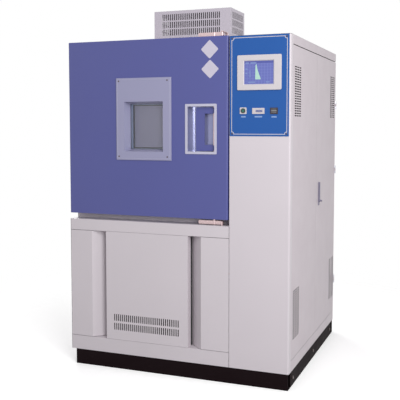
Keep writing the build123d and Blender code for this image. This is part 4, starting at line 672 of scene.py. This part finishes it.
# Films, vinyl, sealant and the button's lens are smoother than a moulding, with half its grain.
BUTTON_PLASTIC = MouldedPlastic("moulded_button_green", "246558", 0.25, 1.2, 0.01)
PLATE_VINYL = MouldedPlastic("bare_vinyl_plate", "C4BECE", 0.35, 1.0, 0.01)
LABEL_FILM = MouldedPlastic("blank_label_film", "7F9AC8", 0.4, 1.0, 0.01)
FIELD_FILM = MouldedPlastic("display_field_blue", "7688BC", 0.3, 1.0, 0.01)
SEALANT = MouldedPlastic("polysulphide_edge_sealant", "DCEBFF", 0.35, 1.5, 0.01)
# A black sponge that stands in for the shade in the gaps beside the access panel: painted shade.
SHADE_SPONGE = CelledFoam("black_sponge_painted_shade", "1C1A1D", 1.2)
FOAM = CelledFoam("rigid_polyurethane_foam", "D9C58A")
COIL = FinnedCoil("aluminium_fin_stack")
# Its pale film on the middle pane is painted light for the lit chamber behind.
PANE = WindowPane("float_glass_painted_light")
FLOOR_PAINT = StudioFloor()


class Workshop:
    """Keeps one material for each finish and puts finishes on CAD nodes and new meshes."""

    def __init__(self) -> None:
        """Starts with no materials made."""
        self.made: dict[str, Material] = {}

    def material(self, finish: Finish) -> Material:
        """Gives the material of a finish, made once.

        Args:
            finish: The finish.

        Returns:
            Its material.
        """
        if finish.name not in self.made:
            self.made[finish.name] = finish.build()
        return self.made[finish.name]

    def paint(self, finish: Finish, *nodes: str) -> None:
        """Gives CAD nodes a finish.

        Args:
            finish: One of the finishes above.
            nodes: Names of CAD nodes.
        """
        for name in nodes:
            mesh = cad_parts[name].data
            if not mesh.materials:
                mesh.materials.append(None)
            for slot in range(len(mesh.materials)):
                mesh.materials[slot] = self.material(finish)

    def piece(self, name: str, mesh: Mesh, finish: Finish, body: str, slot: str) -> bpy.types.Object:
        """Turns a bmesh into a piece that rides on a body.

        Args:
            name: The piece's name.
            mesh: The built mesh, in metres in the CAD frame. It is freed.
            finish: The finish it gets.
            body: The CAD body that it moves with.
            slot: The record's material slot; not used.

        Returns:
            The new object.
        """
        bmesh.ops.recalc_face_normals(mesh, faces=mesh.faces)
        data = bpy.data.meshes.new(name)
        mesh.to_mesh(data)
        mesh.free()
        data.materials.append(self.material(finish))
        thing = bpy.data.objects.new(name, data)
        bpy.context.scene.collection.objects.link(thing)
        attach(thing, body)
        LOG.info("piece %s: %d faces on %s", name, len(data.polygons), body)
        return thing


# Mesh and object helpers


def prism(mesh: Mesh, outline: Outline, y0: float, y1: float) -> None:
    """Adds a closed plate whose outline lies in the X-Z plane.

    Args:
        mesh: The bmesh that it is added to.
        outline: Corner points (x, z) in metres, in order.
        y0: The plate's front face.
        y1: The plate's back face.
    """
    front = [mesh.verts.new((x, y0, z)) for x, z in outline]
    back = [mesh.verts.new((x, y1, z)) for x, z in outline]
    mesh.faces.new(front)
    mesh.faces.new(back[::-1])
    count = len(outline)
    for i in range(count):
        j = (i + 1) % count
        mesh.faces.new((front[i], back[i], back[j], front[j]))


def rounded(x0: float, x1: float, z0: float, z1: float, radius: float, steps: int = 5) -> Outline:
    """Draws a rectangle with rounded corners.

    Args:
        x0: Its left side.
        x1: Its right side.
        z0: Its bottom.
        z1: Its top.
        radius: The corners' radius.
        steps: How many edges make a corner.

    Returns:
        The outline's points (x, z) in order.
    """
    left, right, bottom, top = x0 + radius, x1 - radius, z0 + radius, z1 - radius
    points = []
    for turn, (x, z) in enumerate(((right, top), (left, top), (left, bottom), (right, bottom))):
        for k in range(steps + 1):
            angle = math.pi / 2 * (turn + k / steps)
            points.append((x + radius * math.cos(angle), z + radius * math.sin(angle)))
    return points


def inset(low: Vector, high: Vector, depth: float, radius: float) -> Outline:
    """The rounded outline that lies a depth inside a box seen from the front."""
    return rounded(low.x + depth, high.x - depth, low.z + depth, high.z - depth, radius)


def stand(name: str, data: bpy.types.ID, place: Triple, forward: Vector) -> bpy.types.Object:
    """Adds a lamp or camera to the scene.

    Args:
        name: The object's name.
        data: The lamp or camera.
        place: Where it stands, in metres.
        forward: The direction in which it looks.

    Returns:
        The new object.
    """
    thing = bpy.data.objects.new(name, data)
    thing.location = place
    thing.rotation_mode = "QUATERNION"
    thing.rotation_quaternion = forward.to_track_quat("-Z", "Y")
    bpy.context.scene.collection.objects.link(thing)
    return thing


def ring(mesh: Mesh, outer: Outline, inner: Outline, y0: float, y1: float) -> None:
    """Adds a flat closed ring between two outlines with the same number of points.

    Args:
        mesh: The bmesh that it is added to.
        outer: The outer outline.
        inner: The inner outline.
        y0: The ring's front face.
        y1: The ring's back face.
    """
    loops = ((outer, y0), (inner, y0), (inner, y1), (outer, y1))
    rows = [[mesh.verts.new((x, y, z)) for x, z in line] for line, y in loops]
    count = len(outer)
    for a, row in enumerate(rows):
        following = rows[(a + 1) % len(rows)]
        for i in range(count):
            j = (i + 1) % count
            mesh.faces.new((row[i], row[j], following[j], following[i]))


@dataclass(frozen=True)
class ScrewHead:
    """A domed screw head with a cross recess that faces -Y."""

    radius: float = 0.004
    height: float = 0.002
    # Shares of the radius and height: the dome's fall, and the cross's reach, half width and depth
    dome: float = 0.75
    cross_reach: float = 0.6
    cross_half: float = 0.14
    cross_depth: float = 0.55
    rings: tuple[float, ...] = (0.18, 0.3, 0.5, 0.62, 0.8, 0.93, 1.0)
    segments: int = 32

    def add(self, mesh: Mesh, centre: Vector, turn: float) -> None:
        """Adds one head.

        Args:
            mesh: The bmesh that it is added to.
            centre: The middle of the seat, on the sheet.
            turn: How far the cross is turned, in radians.
        """
        grid = []
        for share in self.rings:
            dome = math.sqrt(1 - self.dome * share * share)
            row = []
            for k in range(self.segments):
                angle = math.tau * k / self.segments
                x, z = share * self.radius * math.cos(angle), share * self.radius * math.sin(angle)
                local_x = x * math.cos(turn) + z * math.sin(turn)
                local_z = z * math.cos(turn) - x * math.sin(turn)
                beside = min(abs(local_x), abs(local_z))
                in_cross = share < self.cross_reach and beside < self.cross_half * self.radius
                sink = self.cross_depth * (1 - share) if in_cross else 0.0
                row.append(mesh.verts.new(centre + Vector((x, (sink - dome) * self.height, z))))
            grid.append(row)
        grid.append([mesh.verts.new(Vector((v.co.x, centre.y, v.co.z))) for v in grid[-1]])
        middle = mesh.verts.new(centre + Vector((0, (self.cross_depth - 1) * self.height, 0)))
        for k in range(self.segments):
            j = (k + 1) % self.segments
            mesh.faces.new((middle, grid[0][j], grid[0][k]))
            for near, far in zip(grid, grid[1:]):
                mesh.faces.new((near[k], near[j], far[j], far[k]))
        mesh.faces.new(grid[-1][::-1])

    def at_corners(self, node: str, start: float, step: float) -> Mesh:
        """Makes a head over each of the four round heads of a CAD node.

        Args:
            node: The CAD node that holds the plain heads.
            start: The first cross's turn, in radians.
            step: How much further each next cross is turned.

        Returns:
            A bmesh with the four heads.
        """
        low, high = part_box(node)
        mesh = bmesh.new()
        places = [
            (x, z)
            for x in (low.x + self.radius, high.x - self.radius)
            for z in (low.z + self.radius, high.z - self.radius)
        ]
        for k, (x, z) in enumerate(places):
            self.add(mesh, Vector((x, high.y, z)), start + step * k)
        return mesh


# Sub-assemblies


@dataclass
class Cabinet:
    """The fixed sheet metal, plinth and the plant behind it."""

    shop: Workshop
    sheet: float = 0.002
    shade_reach: float = 0.022
    shade_thick: float = 0.012
    shade_end: float = 0.004
    shade_corner: float = 0.002
    # The strips are painted shade in the gaps beside the panel.
    # They stop short of the panel's free edge and reach past its pivot edge.
    shade_short: float = 0.0025
    shade_past: float = 0.0085

    def dress(self) -> None:
        """Finishes every fixed CAD node of the cabinet and adds the bay's black strips of painted shade."""
        paint = self.shop.paint
        paint(CABINET_PAINT, "front_top_rail", "front_bottom_rail", "bay_surround", "body_front_frame")
        paint(COLUMN_PAINT, "column_shell")
        paint(SHEET_PAINT, "left_side_panel", "rear_panel", "roof_panel")
        paint(SHADED_COVER_PAINT, "motor_cover")
        paint(SHADED_SIDE_PAINT, "side_frame", "side_panel")
        paint(PLINTH_PAINT, "base_plinth")
        paint(INNER_PAINT, "base_pan", "chamber_case", "condenser_fan_frame")
        paint(ZINC, "door_hinge_body", "side_hinge_body")
        paint(BLACKED_STEEL, "plinth_bolts")
        paint(NICKEL, "latch_keepers")
        paint(MOTOR_ENAMEL, "fan_motor", "compressor")
        paint(FOAM, "chamber_insulation")
        paint(LINER_STEEL, "chamber_liner", "air_baffle")
        paint(SHELF_STEEL, "shelves", "heater_element")
        paint(COIL, "evaporator_coil", "condenser_coil")
        paint(COPPER, "refrigerant_pipes")
        paint(NYLON, "shaft_sleeve")
        paint(RELAY_PLASTIC, "switchgear")
        paint(DARK_PLASTIC, "power_gland")
        self.bay_shade_strips()

    def bay_shade_strips(self) -> None:
        """Sticks a black strip of painted shade on each flange of the bay, behind the access panel's edges.
        """
        low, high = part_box("access_panel")
        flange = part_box("bay_surround")[1].y - self.sheet
        right = (high.x - self.shade_reach, high.x - self.shade_short)
        left = (low.x - self.shade_past, low.x + self.shade_reach)
        mesh = bmesh.new()
        for x0, x1 in (right, left):
            strip = rounded(x0, x1, low.z + self.shade_end, high.z - self.shade_end, self.shade_corner)
            prism(mesh, strip, flange - self.shade_thick, flange)
        self.shop.piece("bay_painted_shade_strips", mesh, SHADE_SPONGE, "cabinet", "door_gasket")


@dataclass
class Doors:
    """The chamber door, the hinged side door and the access panel."""

    shop: Workshop
    plate_centres: tuple[tuple[float, float], ...] = ((0.1975, 1.689), (0.1995, 1.591))
    # Half a plate's diagonal
    plate_half: float = 0.0475
    plate_corner: float = 0.006
    plate_thick: float = 0.0006

    def dress(self) -> None:
        """Finishes the doors' CAD nodes and adds the plain plates."""
        paint = self.shop.paint
        paint(DOOR_PAINT, "door_shell")
        paint(FOAM, "door_insulation")
        paint(LINER_STEEL, "door_inner_panel")
        paint(RUBBER, "door_gasket", "cable_port_plug")
        paint(ZINC, "door_hinge_leaves")
        paint(SHADED_SIDE_PAINT, "side_door")
        paint(HANDLE_PLASTIC, "side_handle_plate", "side_handle_lever")
        paint(ACCESS_PAINT, "access_panel")
        paint(ALUMINIUM, "condenser_rotor")
        paint(SHELF_STEEL, "circulation_fan")
        self.plates()

    def plates(self) -> None:
        """Adds the two bare diamond plates stuck on the door's face."""
        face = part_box("door_shell")[0].y
        half = self.plate_half * math.sqrt(0.5)
        square = rounded(-half, half, -half, half, self.plate_corner)
        mesh = bmesh.new()
        for x, z in self.plate_centres:
            diamond = [(x + (a - b) * math.sqrt(0.5), z + (a + b) * math.sqrt(0.5)) for a, b in square]
            prism(mesh, diamond, face - self.plate_thick, face)
        self.shop.piece("door_plates", mesh, PLATE_VINYL, "door", "screen_bezel")


@dataclass
class Window:
    """The door's window with its surround, panes and screws."""

    shop: Workshop
    screw: ScrewHead = ScrewHead()
    screw_start: float = 0.4
    screw_step: float = 0.7
    line_inset: float = 0.008
    line_width: float = 0.0015
    line_corner: float = 0.004
    line_height: float = 0.0006
    line_root: float = 0.0005
    middle: float = MIDDLE_PANE
    pane_thick: float = 0.005
    spacer_wall: float = 0.010
    bedding: float = 0.0002
    corner: float = 0.002
    strip: float = 0.006
    back_strip: float = 0.0096
    # How far the sealant and strips stand in from the spacer, and the wider ones at a pane's face
    reach: float = 0.0015
    lip: float = 0.007

    def dress(self) -> None:
        """Finishes the window and adds screws, the raised, highlight-painted rim line and the panes' edge
        seals.
        """
        self.shop.paint(FRAME_PAINT, "window_frame")
        self.shop.paint(PANE, "window_glass")
        self.shop.paint(SPACER_PLASTIC, "window_spacer")
        self.screws()
        self.rim_line()
        self.seals()

    def screws(self) -> None:
        """Adds cross-recess heads in place of the plain CAD ones."""
        mesh = self.screw.at_corners("window_screws", self.screw_start, self.screw_step)
        made = self.shop.piece("window_screw_heads", mesh, BLACKED_STEEL, "door", "window_screws")
        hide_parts("window_screws")

    def rim_line(self) -> None:
        """Adds the fine raised line pressed round the surround's rim, its paler paint a painted highlight."""
        low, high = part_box("window_frame")
        outer = inset(low, high, self.line_inset, self.line_corner)
        inner = inset(low, high, self.line_inset + self.line_width, self.line_corner - self.line_width)
        mesh = bmesh.new()
        ring(mesh, outer, inner, low.y - self.line_height, low.y + self.line_root)
        self.shop.piece("window_rim_line", mesh, HIGHLIGHT_TRIM_PAINT, "door", "window_frame")

    def seals(self) -> None:
        """Lines the gaps between the panes: edge sealant in the first, rubber strips round the next panes."""
        low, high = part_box("window_glass")
        front, back = low.y + self.pane_thick, high.y - self.pane_thick
        behind = self.middle + self.pane_thick
        sleeve = bmesh.new()
        self.band(sleeve, front, self.middle - self.strip, self.reach)
        self.shop.piece("pane_edge_sealant", sleeve, SEALANT, "door", "door_gasket")
        strips = bmesh.new()
        self.band(strips, self.middle - self.strip, self.middle, self.lip)
        self.band(strips, behind, behind + self.strip, self.reach)
        self.band(strips, back - self.back_strip, back, self.lip)
        self.shop.piece("pane_rubber_strips", strips, RUBBER, "door", "door_gasket")

    def band(self, mesh: Mesh, y0: float, y1: float, reach: float) -> None:
        """Adds a lining to the inner faces of the spacer.

        Args:
            mesh: The bmesh that it is added to.
            y0: Where it starts.
            y1: Where it ends.
            reach: How far it stands in from the spacer.
        """
        low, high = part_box("window_glass")
        outer = inset(low, high, self.spacer_wall - self.bedding, self.corner)
        inner = inset(low, high, self.spacer_wall + reach, self.corner / 2)
        ring(mesh, outer, inner, y0, y1)


@dataclass
class Latch:
    """The let-in handle, its shaft and bars."""

    shop: Workshop
    rim: str = "BBB9CC"
    # The recess colour, darker and bluer than the rim, is in part painted shade in the cup.
    recess: str = "9A9DC2"

    def dress(self) -> None:
        """Finishes the handle cup, lever, shaft and bushings."""
        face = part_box("handle_cup")[0].y
        pressing = PolishedPressing("lacquered_zinc_pressing", self.rim, self.recess, face)
        self.shop.paint(pressing, "handle_cup")
        self.shop.paint(DOOR_PAINT, "handle_lever")
        self.shop.paint(NICKEL, "latch_shaft")
        self.shop.paint(NYLON, "latch_bushings")


@dataclass
class ControlPanel:
    """The operator panel with its film, screen, meter, limiter and power button."""

    shop: Workshop
    screw: ScrewHead = ScrewHead()
    screw_start: float = 0.2
    screw_step: float = 0.9
    screw_inset: float = 0.012
    border_inset: float = 0.0085
    border_width: float = 0.003
    notch: float = 0.0075
    notch_steps: int = 10
    film_height: float = 0.0003
    screen_lap: float = 0.002
    drum_count: int = 6
    drum_gap: float = 0.0008
    drum_left: float = 0.018
    drum_right: float = 0.010
    drum_half: float = 0.0055
    drum_thick: float = 0.0004
    key_count: int = 4
    key_margin: float = 0.006
    key_gap: float = 0.0012
    key_row: float = 0.0085
    key_half: float = 0.0015
    key_front: float = 0.0003
    key_back: float = 0.0016
    readout_half: float = 0.0025
    collar_in: float = 0.0002
    collar_width: float = 0.0044
    collar_front: float = 0.0006
    collar_back: float = 0.0004
    collar_points: int = 40
    # Half the width of the label strip under each device
    label_halves: tuple[tuple[str, float], ...] = (
        ("power_switch_body", 0.012),
        ("hour_meter", 0.019),
        ("limit_unit", 0.013),
    )
    label_top: float = 0.010
    label_bottom: float = 0.017
    thin: float = 0.0002
    small_corner: float = 0.001
    # Left, right, bottom and top of each field, as shares of the screen
    fields: tuple[tuple[float, float, float, float], ...] = (
        (0.05, 0.17, 0.87, 0.93),
        (0.22, 0.42, 0.87, 0.93),
        (0.05, 0.12, 0.62, 0.68),
        (0.05, 0.12, 0.44, 0.5),
        (0.19, 0.22, 0.3, 0.6),
        (0.15, 0.38, 0.07, 0.12),
        (0.74, 0.86, 0.07, 0.12),
    )
    field_corner: float = 0.0008

    def dress(self) -> None:
        """Finishes the panel's CAD nodes and adds its fitted details."""
        paint = self.shop.paint
        paint(PANEL_FILM, "control_panel")
        paint(PALE_PLASTIC, "screen_bezel", "power_switch_body")
        paint(METER_PLASTIC, "hour_meter")
        paint(DARK_PLASTIC, "limit_unit")
        paint(BUTTON_PLASTIC, "power_button")
        low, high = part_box("lcd_screen")
        lap = self.screen_lap
        screen = ChartDisplay("lit_chart_display", low.x + lap, high.x - lap, low.z + lap, high.z - lap)
        paint(screen, "lcd_screen")
        self.screws()
        self.border()
        self.meter_drums()
        self.limiter_keys()
        self.button_collar()
        self.labels()
        self.screen_fields()

    def screws(self) -> None:
        """Adds cross-recess heads in place of the plain CAD ones."""
        mesh = self.screw.at_corners("panel_screws", self.screw_start, self.screw_step)
        made = self.shop.piece("panel_screw_heads", mesh, BLACKED_STEEL, "cabinet", "panel_screws")
        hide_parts("panel_screws")

    def notched(self, low: Vector, high: Vector, depth: float, radius: float) -> Outline:
        """Draws the panel's outline inset from its edge and bent inwards round each corner screw.

        Args:
            low: The panel's lowest corner.
            high: The panel's highest corner.
            depth: How far the line lies inside the panel's edge.
            radius: The radius of the bend round a screw.

        Returns:
            Points (x, z) in order.
        """
        keep = self.screw_inset
        left, right, bottom, top = low.x + keep, high.x - keep, low.z + keep, high.z - keep
        lean = math.acos((keep - depth) / radius)
        points = []
        for turn, (x, z) in enumerate(((right, top), (left, top), (left, bottom), (right, bottom))):
            for k in range(self.notch_steps + 1):
                angle = math.pi / 2 * turn - lean - (math.pi * 1.5 - 2 * lean) * k / self.notch_steps
                points.append((x + radius * math.cos(angle), z + radius * math.sin(angle)))
        return points

    def border(self) -> None:
        """Adds the pale line printed round the panel's film."""
        low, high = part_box("control_panel")
        wide = self.border_width
        outer = self.notched(low, high, self.border_inset, self.notch)
        inner = self.notched(low, high, self.border_inset + wide, self.notch + wide)
        mesh = bmesh.new()
        ring(mesh, outer, inner, low.y - self.film_height, low.y)
        self.shop.piece("panel_border", mesh, PALE_PLASTIC, "cabinet", "screen_bezel")

    def meter_drums(self) -> None:
        """Adds the row of grey-blue drums in the hour meter's slot, left blank."""
        low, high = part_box("hour_meter")
        left, right = low.x + self.drum_left, high.x - self.drum_right
        width = (right - left - self.drum_gap * (self.drum_count - 1)) / self.drum_count
        middle = (low.z + high.z) / 2
        bottom, top = middle - self.drum_half, middle + self.drum_half
        mesh = bmesh.new()
        for k in range(self.drum_count):
            start = left + k * (width + self.drum_gap)
            drum = rounded(start, start + width, bottom, top, self.small_corner)
            prism(mesh, drum, low.y - self.drum_thick, low.y)
        self.shop.piece("meter_drums", mesh, DRUM_PLASTIC, "cabinet", "limit_unit")

    def limiter_keys(self) -> None:
        """Adds the pale readout strip and two rows of keys on the limiter."""
        low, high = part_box("limit_unit")
        middle = (low.z + high.z) / 2
        front, back = low.y - self.key_front, low.y + self.key_back
        left, right = low.x + self.key_margin, high.x - self.key_margin
        half = self.readout_half
        mesh = bmesh.new()
        prism(mesh, rounded(left, right, middle - half, middle + half, self.small_corner), front, back)
        step = (right - left) / self.key_count
        half = self.key_half
        for level in (middle - self.key_row, middle + self.key_row):
            for k in range(self.key_count):
                start, end = left + k * step + self.key_gap, left + (k + 1) * step - self.key_gap
                key = rounded(start, end, level - half, level + half, self.small_corner / 2)
                prism(mesh, key, front, back)
        self.shop.piece("limiter_keys", mesh, RELAY_PLASTIC, "cabinet", "switchgear")

    def button_collar(self) -> None:
        """Adds the dark collar round the lens of the power button."""
        low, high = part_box("power_button")
        x, z = (low.x + high.x) / 2, (low.z + high.z) / 2
        edge = (high.x - low.x) / 2 - self.collar_in
        angles = [math.tau * k / self.collar_points for k in range(self.collar_points)]
        radii = (edge, edge - self.collar_width)
        outer, inner = ([(x + r * math.cos(a), z + r * math.sin(a)) for a in angles] for r in radii)
        mesh = bmesh.new()
        ring(mesh, outer, inner, low.y - self.collar_front, low.y + self.collar_back)
        self.shop.piece("button_collar", mesh, DARK_PLASTIC, "power_key", "limit_unit")

    def labels(self) -> None:
        """Adds blank label strips under the three devices."""
        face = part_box("control_panel")[0].y
        mesh = bmesh.new()
        for node, half in self.label_halves:
            low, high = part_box(node)
            x = (low.x + high.x) / 2
            bottom, top = low.z - self.label_bottom, low.z - self.label_top
            prism(mesh, rounded(x - half, x + half, bottom, top, self.small_corner), face - self.thin, face)
        self.shop.piece("device_labels", mesh, LABEL_FILM, "cabinet", "screen_bezel")

    def screen_fields(self) -> None:
        """Adds the plain fields of the display's page, with no characters in them."""
        low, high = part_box("lcd_screen")
        wide, tall = high.x - low.x, high.z - low.z
        mesh = bmesh.new()
        for left, right, bottom, top in self.fields:
            x0, x1 = low.x + left * wide, low.x + right * wide
            z0, z1 = low.z + bottom * tall, low.z + top * tall
            prism(mesh, rounded(x0, x1, z0, z1, self.field_corner), low.y - self.thin, low.y)
        self.shop.piece("screen_fields", mesh, FIELD_FILM, "cabinet", "lcd_screen")


# Studio


@dataclass(frozen=True)
class Softbox:
    """One oblong area lamp, by its place and size in metres and its power in watts."""

    name: str
    place: Triple
    width: float
    height: float
    power: float

    def hang(self, target: Triple) -> None:
        """Adds the lamp to the scene.

        Args:
            target: The point that it faces.
        """
        data = bpy.data.lights.new(self.name, "AREA")
        data.shape = "RECTANGLE"
        data.size = self.width
        data.size_y = self.height
        data.energy = self.power
        stand(self.name, data, self.place, Vector(target) - Vector(self.place))


@dataclass
class Studio:
    """Camera, soft lights, white surroundings and the floor."""

    shop: Workshop
    position: Triple = (1.483, -3.955, 1.306)
    forward: Triple = (-0.35924, 0.93062, -0.06997)
    sensor: float = 36.0
    lens: float = 64.98
    shift_x: float = -0.0117
    shift_y: float = -0.0578
    clip: tuple[float, float] = (0.05, 100.0)
    lamps: tuple[Softbox, ...] = (
        Softbox("key_softbox", (2.3, -3.2, 2.3), 1.6, 2.4, 101.0),
        Softbox("strip_softbox", (3.9, -1.2, 1.8), 0.4, 2.4, 9.0),
        Softbox("fill_softbox", (-3.4, -3.2, 2.2), 2.4, 2.4, 8.0),
        Softbox("back_softbox", (-2.9, 3.3, 3.0), 2.4, 2.4, 70.0),
    )
    lamp_target: Triple = (0.0, -0.2, 0.9)
    sky: float = 0.46
    floor_radius: float = 14.0
    floor_segments: int = 96

    def camera(self) -> None:
        """Adds the camera at the photograph's viewing angle."""
        data = bpy.data.cameras.new("photo_camera")
        data.sensor_width = self.sensor
        data.lens = self.lens
        data.shift_x = self.shift_x
        data.shift_y = self.shift_y
        data.clip_start, data.clip_end = self.clip
        bpy.context.scene.camera = stand("photo_camera", data, self.position, Vector(self.forward))

    def world(self) -> None:
        """Makes the backdrop white to the camera, in metal and through glass, and softer as a light."""
        world = bpy.data.worlds.new("studio_white")
        bpy.context.scene.world = world
        world.use_nodes = True
        graph = Graph("studio_white", world.node_tree)
        level = graph.add("MapRange", {"Value": white_rays(graph), 3: self.sky, 4: 1.0})
        graph.finish("Background", {"Color": (1, 1, 1, 1), "Strength": level})

    def floor(self) -> None:
        """Adds the pale floor."""
        mesh = bmesh.new()
        segments, radius = self.floor_segments, self.floor_radius
        bmesh.ops.create_circle(mesh, cap_ends=True, radius=radius, segments=segments)
        data = bpy.data.meshes.new("floor")
        mesh.to_mesh(data)
        mesh.free()
        data.materials.append(self.shop.material(FLOOR_PAINT))
        thing = bpy.data.objects.new("floor", data)
        bpy.context.scene.collection.objects.link(thing)

    def build(self) -> None:
        """Sets up the whole studio."""
        self.camera()
        for lamp in self.lamps:
            lamp.hang(self.lamp_target)
        self.world()
        self.floor()
        bpy.context.scene.view_settings.view_transform = "Standard"
        LOG.info("studio built")


def main() -> None:
    """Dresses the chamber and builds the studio."""
    logging.basicConfig(level=logging.INFO, format="%(name)s: %(message)s")
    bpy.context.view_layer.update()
    shop = Workshop()
    for assembly in (Cabinet(shop), Doors(shop), Window(shop), Latch(shop), ControlPanel(shop)):
        assembly.dress()
        LOG.info("%s dressed", type(assembly).__name__)
    Studio(shop).build()


if __name__ == "__main__":
    main()
